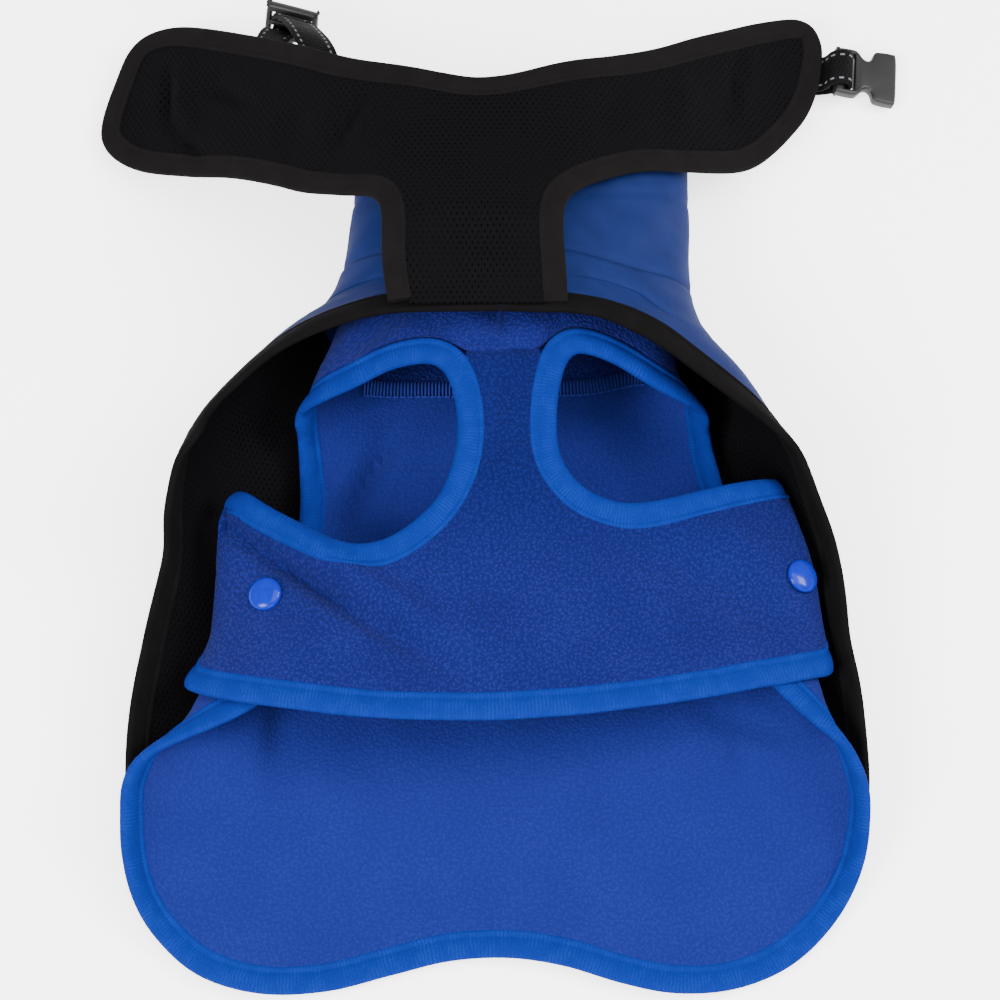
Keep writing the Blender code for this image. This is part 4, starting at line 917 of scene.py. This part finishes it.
def ladder(name, place, line, distance, depth, look, pitch, thick):
    """An overlocked seam: short threads side by side, each from the line to a distance on its left."""
    walk = across(place, line, distance, 4)
    along = lengths(place(line[:, 0], line[:, 1], depth))
    at = np.arange(pitch, along[-1] - pitch, pitch)
    flat = np.stack([[np.interp(at, along, w[:, k]) for w in walk] for k in (0, 1)], -1)
    half = thick / 2 * np.array([0.5] + [1.0] * (len(walk) - 2) + [0.5])
    return threads(name, place, flat.transpose(1, 0, 2), depth, -1, half, look)


# %% [markdown]
# ## Writing materials as sums
#
# A `Signal` is one output of a shader node. Adding or multiplying signals makes the Math nodes, so a weave
# can be written as a formula.

# %% Writing materials as sums
class Signal:
    """One output of a shader node, which can be added to, taken from and multiplied by others."""

    def __init__(self, look, socket):
        self.look, self.socket = look, socket

    def __add__(self, other):
        return self.look.math("ADD", self, other)

    def __sub__(self, other):
        return self.look.math("SUBTRACT", self, other)

    def __mul__(self, other):
        return self.look.math("MULTIPLY", self, other)

    def __rsub__(self, other):
        return self.look.math("SUBTRACT", other, self)

    __radd__, __rmul__ = __add__, __mul__


class Look:
    """A material: one method makes any node, and the others are short names for the common ones."""

    def __init__(self, name, **sockets):
        self.material = bpy.data.materials.new(name)
        self.material.use_nodes = True
        self.tree = self.material.node_tree
        self.shader = self.tree.nodes["Principled BSDF"]
        self.set(**sockets)

    def set(self, **sockets):
        for name, value in sockets.items():
            self.feed(self.shader.inputs[name.replace("_", " ")], value)

    def feed(self, socket, value):
        if isinstance(value, Signal):
            self.tree.links.new(value.socket, socket)
        elif isinstance(value, tuple) and len(value) == 3 and socket.type == "RGBA":
            socket.default_value = (*value, 1)
        else:
            socket.default_value = value

    def node(self, kind, out=0, inputs=None, **settings):
        made = self.tree.nodes.new("ShaderNode" + kind)
        for name, value in settings.items():
            setattr(made, name, value)
        for name, value in (inputs or {}).items():
            self.feed(made.inputs[name], value)
        return Signal(self, made.outputs[out])

    def math(self, operation, *values):
        return self.node("Math", inputs=dict(enumerate(values)), operation=operation)

    def mix(self, share, a, b):
        """Colour a where share is 0, colour b where it is 1."""
        made = self.tree.nodes.new("ShaderNodeMix")
        made.data_type = "RGBA"
        self.feed(made.inputs[0], share)
        self.feed(made.inputs[6], a)
        self.feed(made.inputs[7], b)
        return Signal(self, made.outputs[2])

    def cut(self):
        """The place on the flat cut: the vector, and its two parts in metres."""
        place = self.node("UVMap", uv_map="cut")
        split = self.tree.nodes.new("ShaderNodeSeparateXYZ")
        self.feed(split.inputs[0], place)
        return place, Signal(self, split.outputs[0]), Signal(self, split.outputs[1])

    def noise(self, place, size, detail=2.0, rough=0.5):
        """Cloudy noise, about 0 to 1, with features of that size in millimetres."""
        return self.node("TexNoise", "Fac", {"Vector": place, "Scale": 1000 / size, "Detail": detail,
                                             "Roughness": rough}, noise_dimensions="2D")

    def step(self, value, low, high):
        """0 below low, 1 above high and smooth between."""
        return self.node("MapRange", 0, {"Value": value, "From Min": low, "From Max": high},
                         interpolation_type="SMOOTHSTEP")

    def wave(self, value, period, kind="SINE"):
        """A sine or cosine of that period in millimetres, from -1 to 1."""
        return self.math(kind, value * (2000 * math.pi / period))

    def bump(self, height, depth, strength):
        """Relief of that depth in millimetres."""
        relief = {"Height": height, "Distance": depth * MM, "Strength": strength}
        self.set(Normal=self.node("Bump", 0, relief))


# %% [markdown]
# ## The materials
#
# Fleece is a pebbled nap of short tufts, 1.5 mm apart, coloured lighter at the tips and darker between them
# as painted shade. The rib tape is knitted, with a rib every 1.3 mm. The net lining has a triangular lattice
# of small holes, 2.2 mm apart. Softshell is a smooth, fine weave, and the binding is a matt woven tape.

# %% The materials
def fleece_look(name, dark, light, relief=1.0, chest_shade=None):
    """Fleece. The last argument darkens the chest towards the neck: painted shade under the flap and collar.
    """
    look = Look(name, Roughness=0.95, Sheen_Weight=0.02, Sheen_Roughness=0.5, Specular_IOR_Level=0.04)
    place, _, y = look.cut()
    middle = look.node("TexVoronoi", "Distance", {"Vector": place, "Scale": 1000 / 1.5, "Randomness": 1.0},
                       voronoi_dimensions="2D", feature="F1")
    tuft = 1 - look.step(middle, 0.05, 0.55)
    clump = look.noise(place, 1.1, 3.0, 0.6)
    height = tuft * 0.5 + clump * 0.9
    patch = look.noise(place, 25.0)
    # The colour follows the tufts' height, with random patches: painted shade between the tufts, lighter at
    # their tips.
    share = look.step(height + (patch - 0.5) * 0.4, 0.25, 1.25)
    colour = look.mix(share, dark, light)
    # Painted shade: the chest's colours darken towards the neck, under the flap and collar.
    if chest_shade:
        shaded_colours = [tuple(c * k for c, k in zip(shade, chest_shade)) for shade in (dark, light)]
        chest_shadow_share = look.step(y + (patch - 0.5) * 0.02, -0.05, -0.005)
        colour = look.mix(chest_shadow_share, colour, look.mix(share, *shaded_colours))
    look.set(Base_Color=colour)
    look.bump(height, 0.85 * relief, 0.9)
    return look


def rib_look(name, dark, light):
    """Knitted tape: ribs across it that come and go, under a fine fuzz."""
    look = Look(name, Roughness=0.9, Specular_IOR_Level=0.05)
    place, along, _ = look.cut()
    wobble = look.noise(place, 3.0) - 0.5
    rib = look.wave(along + wobble * 0.001, 1.28) * 0.5 + 0.5
    fuzz = look.noise(place, 0.7, 3.0, 0.7)
    clear = look.step(look.noise(place, 7.0), 0.35, 0.7) * 0.8 + 0.2
    height = rib * clear * 0.4 + fuzz * 0.8
    look.set(Base_Color=look.mix(look.step(height, 0.1, 1.1), dark, light))
    look.bump(height, 0.16, 0.75)
    return look


def net_look(name, dark, light):
    """Knitted net: small round holes, deeper where the net is drawn taut."""
    look = Look(name, Roughness=0.9, Specular_IOR_Level=0.03)
    place, a, b = look.cut()
    lattice = look.wave(a, 2.2, "COSINE") * look.wave(b, 3.8, "COSINE")
    knit = look.noise(place, 0.45, 2.0)
    hole = look.step(lattice + (knit - 0.5) * 0.2, 0.55, 0.95)
    taut = look.step(look.noise(place, 30.0), 0.35, 0.65)
    height = 1 - hole * (taut * 0.5 + 0.5) + knit * 0.2
    look.set(Base_Color=look.mix(look.step(height, 0.25, 1.0), dark, light))
    look.bump(height, 0.5, 0.9)
    return look


def woven_look(name, dark, light, pitch, roughness, depth, stitch_at=None):
    """A plain weave. stitch_at is how far a line of stitches lies from the tape's edge."""
    look = Look(name, Roughness=roughness, Specular_IOR_Level=0.05)
    place, a, b = look.cut()
    thread = look.wave(a, pitch) * look.wave(b, pitch)
    cloud = look.noise(place, 9.0)
    grain = look.noise(place, 0.6, 2.0)
    height = thread * 0.25 + grain * 0.5
    share = look.step(cloud * 0.5 + height * 0.6, 0.1, 0.8)
    if stitch_at:
        near = 1 - look.step(look.math("ABSOLUTE", b - stitch_at * MM), 0.0001, 0.00035)
        dash = look.step(look.wave(a, 2.8), -0.75, -0.3)
        height = height + near * dash * 1.2 - near * (1 - dash)
    look.set(Base_Color=look.mix(share, dark, light))
    look.bump(height, depth, 0.8)
    return look


def grained_look(name, dark, light, size, depth, roughness, shine):
    """Thread or moulded plastic: a fine cloud of two near shades, with a shallow relief."""
    look = Look(name, Roughness=roughness, Specular_IOR_Level=shine)
    cloud = look.noise(look.node("TexCoord", "Object"), size)
    look.set(Base_Color=look.mix(look.step(cloud, 0.3, 0.7), dark, light))
    look.bump(cloud, depth, 0.5)
    return look


def webbing_look(name, dark, light, mark):
    """Herringbone webbing with a row of light dashes near each edge."""
    look = Look(name, Roughness=0.8, Specular_IOR_Level=0.08)
    place, a, b = look.cut()
    zigzag = look.math("ABSOLUTE", look.wave(b, 7.5))
    rib = look.wave(a + zigzag * 0.0012, 1.5)
    grain = look.noise(place, 0.4, 2.0)
    height = rib * 0.4 + grain * 0.4
    near = 1 - look.step(look.math("ABSOLUTE", look.math("ABSOLUTE", b) - 0.0052), 0.00025, 0.0005)
    dash = near * look.step(look.wave(a, 3.4), -0.1, 0.2)
    base = look.mix(look.step(height, -0.2, 0.7), dark, light)
    look.set(Base_Color=look.mix(dash, base, mark))
    look.bump(height, 0.25, 0.8)
    return look


FLEECE_COLOURS = (0.0036, 0.0056, 0.066), (0.0096, 0.0134, 0.122)
fleece = fleece_look("fleece", *FLEECE_COLOURS)
# The chest's fleece carries painted shade, darker towards the neck.
fleece_chest_shaded = fleece_look("fleece_chest_shaded", *FLEECE_COLOURS, 1.0, (0.55, 0.68, 0.76))
fleece_inside = fleece_look("fleece_inside", (0.0062, 0.0098, 0.096), (0.0098, 0.0146, 0.126), 0.4)
rib = rib_look("rib_tape", (0.0022, 0.0100, 0.112), (0.0054, 0.0204, 0.184))
softshell = woven_look("softshell_blue", (0.0048, 0.0098, 0.054), (0.0080, 0.0155, 0.078), 0.42, 0.7, 0.05)
net = net_look("net_lining", (0.0001, 0.0001, 0.0001), (0.0022, 0.0020, 0.0026))
# The coat's edge has a darker copy of the same binding tape.
binding_flap, binding_coat = (
    woven_look(name, dark, light, 0.5, 1.0, 0.08, 8.4)
    for name, dark, light in (
        ("binding_tape", (0.0036, 0.0030, 0.0032), (0.0056, 0.0047, 0.0050)),
        ("binding_tape_coat", (0.0022, 0.0019, 0.0021), (0.0040, 0.0035, 0.0038)),
    )
)
webbing = webbing_look("webbing", (0.0006, 0.0006, 0.0007), (0.0026, 0.0026, 0.0030), (0.11, 0.115, 0.125))
thread_blue, thread_pale, plastic, snap = (
    grained_look(name, *rest)
    for name, *rest in (
        ("thread_blue", (0.0024, 0.0064, 0.040), (0.0036, 0.0096, 0.060), 0.5, 0.05, 0.7, 0.1),
        ("thread_fleece", (0.010, 0.017, 0.135), (0.016, 0.025, 0.195), 0.5, 0.05, 0.9, 0.1),
        ("buckle_plastic", (0.0032, 0.0032, 0.0038), (0.0040, 0.0040, 0.0046), 0.8, 0.02, 0.5, 0.35),
        ("snap_plastic", (0.0002, 0.0068, 0.235), (0.0004, 0.0082, 0.265), 2.5, 0.01, 0.16, 0.16),
    )
)

# %% [markdown]
# ## The coat
#
# One softshell wall goes round the dog's back and sides, with a net lining inside and a folded tape round
# its open edge. The collar is sewn to it in two bands.


def stand_for(item, node, slot):
    """Puts a piece in the place of its solid."""
    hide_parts(node)
    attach(item, "root")
    return item


def cloth(item, node, slot):
    """Puts a cloth panel in the place of the solid it replaces. slot, its finish, is not used."""
    stand_for(item, node, slot)


def ring(item, around, height, rests_on, node, slot):
    """Puts a band of cloth in the place of its solid. Its length all round is worked out but not used."""
    stand_for(item, node, slot)
    float(around * MM)
    height * MM


def strip_of(item, rests_on, node, slot):
    """Puts a tape or webbing in the place of its solid."""
    stand_for(item, node, slot)


EDGE_STEP = 2.0
SHELL_DEPTHS = (0.0, SOFTSHELL)
NET_DEPTHS = (SOFTSHELL + NET_GAP, COAT_WALL)
COLLAR_DEPTHS = (0.0, COLLAR_WALL)
right, left = np.array(CHEST_EDGE_RIGHT, float), np.array(CHEST_EDGE_LEFT, float)
edge = curve(np.concatenate([
    np.column_stack([s_from_x(COAT, right[:, 0], right[:, 1]), right[:, 1]]),
    np.array(COAT_EDGE, float),
    np.column_stack([-np.abs(s_from_x(COAT, left[:, 0], left[:, 1])), left[:, 1]]),
]), EDGE_STEP)
inner = aside(COAT.place, edge, -(TAPE_WIDTH - COAT_LAP))
mouth = edge[0, 1] + TAPE_WIDTH - COAT_LAP
share = np.linspace(-1, 1, 241)
seam_y = by_share(share, *NECK_SEAMS)
seam = np.column_stack([share * girth_of(COAT, share, seam_y), seam_y])
side = np.linspace(mouth, seam_y[0], 6)[:-1]
closing_left = np.column_stack([-COAT.half_girth(side, False), side])
closing_right = np.column_stack([COAT.half_girth(side[::-1], True), side[::-1]])
coat_outline = np.concatenate([inner[2:-2], closing_left, seam, closing_right])
coat_shell = panel("coat_shell_cloth", on_coat, coat_outline, SHELL_DEPTHS, softshell)
cloth(coat_shell, "coat_shell", "softshell_blue")
coat_lining = panel("coat_lining_net", on_coat, coat_outline, NET_DEPTHS, net)
cloth(coat_lining, "coat_lining", "net_lining")
coat_tape = tape("coat_binding", on_coat, edge, -1, BINDING_PROFILE, TAPE_THICK / 2, binding_coat,
                 COAT.place, ends=at_middle)
strip_of(coat_tape, "coat_shell", "coat_edge_tape", "binding_tape")

around = 2 * COAT.half_girth(80.0)[0]
collar_base = tube("collar_base_cloth", on_collar, COAT, NECK_SEAMS, COLLAR_SEAMS, COLLAR_DEPTHS, softshell,
                   rows=14, bulge=0.8)
ring(collar_base, around, 22.0, "floor", "collar_base", "softshell_blue")
collar = tube("collar_cloth", on_collar, COAT, raised(COLLAR_SEAMS, 0.1), level(COLLAR_TOP_Y),
              COLLAR_DEPTHS, softshell, rows=40, bulge=0.3)
ring(collar, around, 60.0, "floor", "collar", "softshell_blue")

f = np.linspace(-0.999, 0.999, 260)
for name, seams in (("collar_stitches", COLLAR_SEAMS), ("collar_top_stitches", COLLAR_TOP_STITCH)):
    y = by_share(f, *seams)
    line = np.column_stack([f * girth_of(COAT, f, y), y])
    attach(stitches(name, on_collar, line, -0.05, thread_blue), "root")

# %% [markdown]
# ## The belly flap
#
# Softshell below, net above, with its own binding. It rolls over the collar and its wings droop.

# %% The belly flap
flap = curve(FLAP_EDGE, EDGE_STEP)
flap_cloth = aside(FLAP.place, flap, TAPE_WIDTH_FLAP - LAP)
flap_cloth[0, 1] = flap_cloth[-1, 1] = flap[0, 1]
net_cloth = flap_cloth.copy()
net_cloth[[0, -1], 1] -= 1.3  # the net laps over the shell at the foot
flap_shell = panel("flap_shell_cloth", on_flap, flap_cloth, SHELL_DEPTHS, softshell)
cloth(flap_shell, "flap_shell", "softshell_blue")
flap_lining = panel("flap_lining_net", on_flap, net_cloth, NET_DEPTHS, net)
cloth(flap_lining, "flap_lining", "net_lining")
flap_tape = tape("flap_binding", on_flap, flap, 1, BINDING_PROFILE, TAPE_THICK / 2, binding_flap,
                 FLAP.place, stretch=TAPE_WIDTH_FLAP / TAPE_WIDTH)
strip_of(flap_tape, "flap_shell", "flap_edge_tape", "binding_tape")

# %% [markdown]
# ## The vest
#
# A back panel whose two tabs pass under the belly band, a front panel that is chest and band in one, a
# short tube of a collar, and ribbed tape round every free edge.

# %% The vest
FLEECE_DEPTHS = (0.5, 0.5 + FLEECE)
LEAST_STEP = 1.2
hem = curve(VEST_EDGE, EDGE_STEP)
arm_left, arm_right = armhole(ARMHOLE_LEFT), armhole(ARMHOLE_RIGHT)
hem_cloth = thinned(aside(VEST.place, hem, RIB_WIDTH - LAP)[:-1], LEAST_STEP)
side_left, side_right = aside(VEST.place, arm_left, LAP), aside(VEST.place, arm_right, -LAP)
back_left = side_left[: turn_of(side_left, VEST_NECK_LEFT, False)]
back_right = side_right[: turn_of(side_right, VEST_NECK_RIGHT, True)]
f_left = np.abs(back_left[-1, 0]) / VEST.half_girth(back_left[-1, 1], False)[0]
f_right = np.abs(back_right[-1, 0]) / VEST.half_girth(back_right[-1, 1], True)[0]
f = np.linspace(-f_left, f_right, 70)[1:-1]
y = by_share(f, *VEST_NECK) - SEAM_GAP
back_neck = np.column_stack([f * girth_of(VEST, f, y), y])
back_outline = np.concatenate([hem_cloth, back_right, back_neck[::-1], back_left[::-1]])
back = panel("vest_back_fleece", on_back, back_outline, FLEECE_DEPTHS, fleece_inside)
cloth(back, "vest_back", "fleece")

front_left, front_right = front_part(side_left, False), front_part(side_right, True)
band = curve(BAND_EDGE, EDGE_STEP)
band_cloth = thinned(aside(vest_front, band, RIB_WIDTH - LAP), LEAST_STEP)
front_left, band_cloth = meet(front_left, band_cloth)
front_right, band_cloth = meet(front_right, band_cloth[::-1])
neck_t = np.linspace(front_left[0, 0], front_right[0, 0], 24)[1:-1]
neck_line = np.column_stack([neck_t, np.full(len(neck_t), FRONT_NECK_Y + 1.4)])
front_outline = np.concatenate([neck_line, front_right, band_cloth, front_left[::-1]])
front = panel("vest_front_fleece", on_front, front_outline, FLEECE_DEPTHS, fleece_chest_shaded, 2.0, 1.2)
cloth(front, "vest_front", "fleece")

vest_collar = tube("vest_collar_fleece", on_vest_collar, VEST, VEST_NECK, level(VEST_COLLAR_TOP_Y),
                   FLEECE_DEPTHS, fleece, rows=40, bulge=0.8)
ring(vest_collar, 2 * VEST.half_girth(60.0)[0], 58.0, "collar", "vest_collar", "fleece")

for name, place, line, side, profile, cut_on, calm, rests_on, node in (
    ("vest_rib", on_back, hem, 1, RIB_PROFILE, VEST.place, 1, "vest_back", "vest_edge_tape"),
    ("armhole_rib_left", on_armhole, arm_left, 1, RIB_PROFILE_SEAM, VEST.place, 5, "vest_front",
     "armhole_tape_left"),
    ("armhole_rib_right", on_armhole, arm_right, -1, RIB_PROFILE_SEAM, VEST.place, 5, "vest_front",
     "armhole_tape_right"),
    ("band_rib", on_front, band, 1, RIB_PROFILE, vest_front, 1, "vest_front", "band_tape"),
):
    item = tape(name, place, line, side, profile, RIB_THICK / 2, rib, cut_on, calm=calm)
    strip_of(item, rests_on, node, "rib_tape")

# The overlocked seam at the back of the neck: a flat allowance in thread colour, dark as painted shade
# behind the threads, the threads over it and a chain stitch.
SHADED_ALLOWANCE_WIDTH = 6.0
SHADED_ALLOWANCE = ((0, 0.0), (0.2, 0.25), (2, 0.25), (4, 0.25), (5.6, 0.25), (SHADED_ALLOWANCE_WIDTH, 0.0))
chain = back_neck[8:-8] + np.array((0.0, -3.6))
face = FLEECE_DEPTHS[1]
for item in (
    tape("back_neck_shaded_allowance", on_back, chain, 1, SHADED_ALLOWANCE, face + 0.1, thread_blue),
    ladder("back_neck_overlock", on_back, chain, SHADED_ALLOWANCE_WIDTH, face + 1.0, thread_pale, 1.3, 0.9),
    stitches("back_neck_chain", on_back, chain, face + 0.8, thread_pale, 2.6, 2.75, 0.8),
):
    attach(item, "root")

# %% [markdown]
# ## Snaps, buckle and webbing
#
# The caps are shallow domes pressed on the belly band. The buckle's halves are moulded plates with rounded
# edges, and the webbing is a flat bar carried through their bars.

# %% Snaps, buckle and webbing
SOCKET_THICK, PLUG_THICK = 4.4, 3.6
SOCKET_OUTLINE = (
    (-1.8, -9), (-0.8, -10.2), (5.5, -10.4), (7.5, -9.3), (9.2, -7.2), (11, -6.4), (12.6, -7.6),
    (13.6, -10.4), (15, -11.4), (20.5, -11.7), (22.6, -10.4), (22.9, 0), (22.6, 10.4), (20.5, 11.7),
    (15, 11.4), (13.6, 10.4), (12.6, 7.6), (11, 6.4), (9.2, 7.2), (7.5, 9.3), (5.5, 10.4), (-0.8, 10.2),
    (-1.8, 9),
)
SOCKET_AT = (132.6, 177.3, 8.2)
SOCKET_LOOP = (
    (111, 2.9), (118, 2.9), (123, 2.9), (127, 3.4), (130, 4.2), (134, 4.6), (136.4, 5.8), (137.2, 8.2),
    (136.6, 10.8), (134.4, 12.1), (131.2, 12.0), (129.1, 10.4), (128.0, 8.0), (126.2, 6.2), (122.5, 5.6),
    (118, 5.5), (111, 5.5),
)
PLUG_OUTLINE = (
    (-1.7, -9), (-0.7, -10.2), (12, -10.2), (13.2, -8.8), (17, -8.8), (21.6, -7.6), (23.6, -5.6),
    (22.6, -4.6), (18.4, -5.4), (14.4, -5.2), (13.6, -1.6), (20, -1.3), (21, 0), (20, 1.3), (13.6, 1.6),
    (14.4, 5.2), (18.4, 5.4), (22.6, 4.6), (23.6, 5.6), (21.6, 7.6), (17, 8.8), (13.2, 8.8), (12, 10.2),
    (-0.7, 10.2), (-1.7, 9),
)
PLUG_AT = (-80.4, 194.7, 24.5)
PLUG_LOOP_LEFT = ((-95.5, 163, 30.6), (-91, 170, 33.0), (-87.5, 177, 32.4), (-84.5, 184, 26))
PLUG_LOOP_RIGHT = ((-78.5, 187, 29.5), (-74, 178, 37.5), (-69.5, 167.5, 43.6), (-67, 160, 45.4))
SNAPS = (("snap_left", -84, -51), ("snap_right", 110, -42))  # t, y
SNAP_AROUND = 40
SNAP_PROFILE = np.array([  # share of the radius, depth: from the dome's middle to its turned-in rim
    (0, -2.4), (0.2, -2.38), (0.4, -2.3), (0.6, -2.12), (0.76, -1.86), (0.88, -1.5), (0.96, -1.05),
    (1.0, -0.5), (0.98, 0.1), (0.8, 0.4),
])
SLOT_HALF = 8.2  # half the width of the slots that the webbing passes through


def encloses(loop, point):
    """Whether a closed line goes round a point, counted by the sides that a level line crosses."""
    a, b = loop, np.roll(loop, -1, axis=0)
    crosses = (a[:, 1] > point[1]) != (b[:, 1] > point[1])
    run = b - a
    at = a[:, 0] + (point[1] - a[:, 1]) * run[:, 0] / np.where(run[:, 1] == 0, 1, run[:, 1])
    return (crosses & (point[0] < at)).sum() % 2 == 1


def unit(*v):
    """The vector with a length of 1."""
    v = np.array(v, float)
    return v / np.linalg.norm(v)


def placing(a, b, at):
    """A plate's placing, from its long direction, its cross direction and its origin."""
    m = np.eye(4)
    m[:3, 0], m[:3, 1], m[:3, 2], m[:3, 3] = a, b, np.cross(a, b), at
    return m


def slot(start, end):
    """A slot across a plate, between two distances along it."""
    return [(start, -SLOT_HALF), (end, -SLOT_HALF), (end, SLOT_HALF), (start, SLOT_HALF)]


def cap(name, t, y):
    """A snap: rings on the band round one point, from the dome's middle to its turned-in rim."""
    turn = np.linspace(0, 2 * np.pi, SNAP_AROUND, endpoint=False)
    r = np.maximum(SNAP_PROFILE[:, :1], 0.002) * SNAP_DIAMETER / 2
    depth = np.repeat(SNAP_PROFILE[:, 1], SNAP_AROUND)
    rings = vest_front((t + r * np.cos(turn)).ravel(), (y + r * np.sin(turn)).ravel(), depth)
    lift = folds(FRONT_FOLDS, [t], [y])[0]
    centre = vest_front(np.array([t, t]), np.array([y, y]), np.array((0.0, -lift)))
    rings = rings.reshape(-1, SNAP_AROUND, 3) + (centre[1] - centre[0])
    made = piece(name, rings.reshape(-1, 3), swept(rings), np.zeros((rings.size // 3, 2)), snap)
    stand_for(made, name, "snap_plastic")


def moulded(name, outline, holes, thick, matrix, bevel=1.2, steps=6):
    """A moulded plate: the flat outline in triangles, its rim rounded by a quarter circle on each face."""
    loops = [curve(outline, 0.6, True)] + [np.array(hole, float) for hole in holes]
    flat, edges, start = np.concatenate(loops), [], 0
    for loop in loops:
        edges += [(start + i, start + (i + 1) % len(loop)) for i in range(len(loop))]
        start += len(loop)
    points, _, tris, *_ = delaunay_2d_cdt([Vector(p) for p in flat], edges, [], 2, 1e-5)
    middle = np.array([tuple(p) for p in points])
    keep = [list(t) for t in tris if encloses(loops[0], middle[list(t)].mean(0))
            and not any(encloses(hole, middle[list(t)].mean(0)) for hole in loops[1:])]
    rim, inward = boundary(keep), np.zeros_like(middle)
    for a, b in rim:
        run = middle[b] - middle[a]
        turn = np.array([-run[1], run[0]]) / np.linalg.norm(run)
        inward[a] += turn
        inward[b] += turn
    inward /= np.maximum(np.linalg.norm(inward, axis=1, keepdims=True), 1e-9)
    angle = np.linspace(0, np.pi / 2, steps)
    drawn, height = bevel * (1 - np.sin(angle)), thick / 2 - bevel * (1 - np.cos(angle))
    levels = [(d, -h) for d, h in zip(drawn, height)] + [(d, h) for d, h in zip(drawn[::-1], height[::-1])]
    n = len(middle)
    points = np.concatenate([np.column_stack([middle + inward * d, np.full(n, h)]) for d, h in levels])
    top = (len(levels) - 1) * n
    faces = [t[::-1] for t in keep] + [[i + top for i in t] for t in keep]
    for k in range(len(levels) - 1):
        faces += [[a + k * n, b + k * n, b + (k + 1) * n, a + (k + 1) * n] for a, b in rim]
    placed = np.column_stack([points, np.ones(len(points))]) @ np.array(matrix).T
    made = piece(name, placed[:, :3], faces, np.zeros((len(points), 2)), plastic, sharp=40)
    stand_for(made, name, "buckle_plastic")


def webbing_strip(name, line, tilt, rests_on):
    """Webbing: a flat bar with rounded edges along a smooth line, its width along the direction tilt."""
    rows = np.column_stack([np.array(line, float), np.broadcast_to(np.array(tilt, float), (len(line), 3))])
    run = curve(rows, 1.6)
    p, wide = run[:, :3], run[:, 3:]
    wide = wide / np.linalg.norm(wide, axis=1, keepdims=True)
    forward = np.gradient(p, axis=0)
    forward /= np.linalg.norm(forward, axis=1, keepdims=True)
    up = np.cross(wide, forward)
    up /= np.linalg.norm(up, axis=1, keepdims=True)
    w, h = WEBBING_WIDTH / 2, WEBBING_THICK / 2
    below = [(-w, 0), (-w + 0.15, -h * 0.7), (-w + 0.5, -h), (w - 0.5, -h), (w - 0.15, -h * 0.7)]
    corners = below + [(-a, -b) for a, b in below]
    rings = np.stack([p + a * wide + b * up for a, b in corners], axis=1)
    along = lengths(p)
    cut = np.stack(np.broadcast_arrays(along[:, None], np.array([a for a, _ in corners])[None, :]), axis=-1)
    made = piece(name, rings.reshape(-1, 3), swept(rings), cut.reshape(-1, 2), webbing, sharp=70)
    made["length"] = along[-1] * MM
    strip_of(made, rests_on, name, "webbing")


for name, t, y in SNAPS:
    cap(name, t, y)

# The right end of the flap: the buckle's socket on its loop of webbing.
axis, wide = unit(0.975, -0.086, -0.215), unit(0.17, -0.985, 0.0)
wide = unit(*(wide - wide @ axis * axis))
moulded("buckle_socket", SOCKET_OUTLINE, [slot(1.8, 5.8)], SOCKET_THICK, placing(axis, wide, SOCKET_AT))
loop = [(x, SOCKET_AT[1], z) for x, z in SOCKET_LOOP]
webbing_strip("webbing_right", loop, wide * (1, 1, 0), "floor")

# The left end: the buckle's plug hangs behind the wing, and its webbing passes round both its bars.
bar, down = unit(0.958, -0.287, 0.0), unit(-0.129, -0.431, -0.893)
away = np.cross(bar, down)
away = away if away[1] > 0 else -away
slots = [slot(1.7, 5.3), slot(7.7, 11.3)]
moulded("buckle_plug", PLUG_OUTLINE, slots, PLUG_THICK, placing(down, bar, PLUG_AT))
inner, between_slots, outer = (np.array(PLUG_AT) + d * down for d in (3.5, 6.5, 9.5))
line = [
    *PLUG_LOOP_LEFT, outer - 2.6 * away, outer, outer + 2.2 * away - 1.2 * down,
    between_slots + 3.3 * away, inner + 2.2 * away + 1.2 * down, inner, inner - 2.6 * away, *PLUG_LOOP_RIGHT,
]
tilt = [(0.90, -0.22, 0.38)] * 3 + [tuple(bar)] * 9 + [(0.90, -0.22, -0.02)] + [(0.88, -0.2, 0.3)] * 2
webbing_strip("webbing_left", line, tilt, "flap_shell")
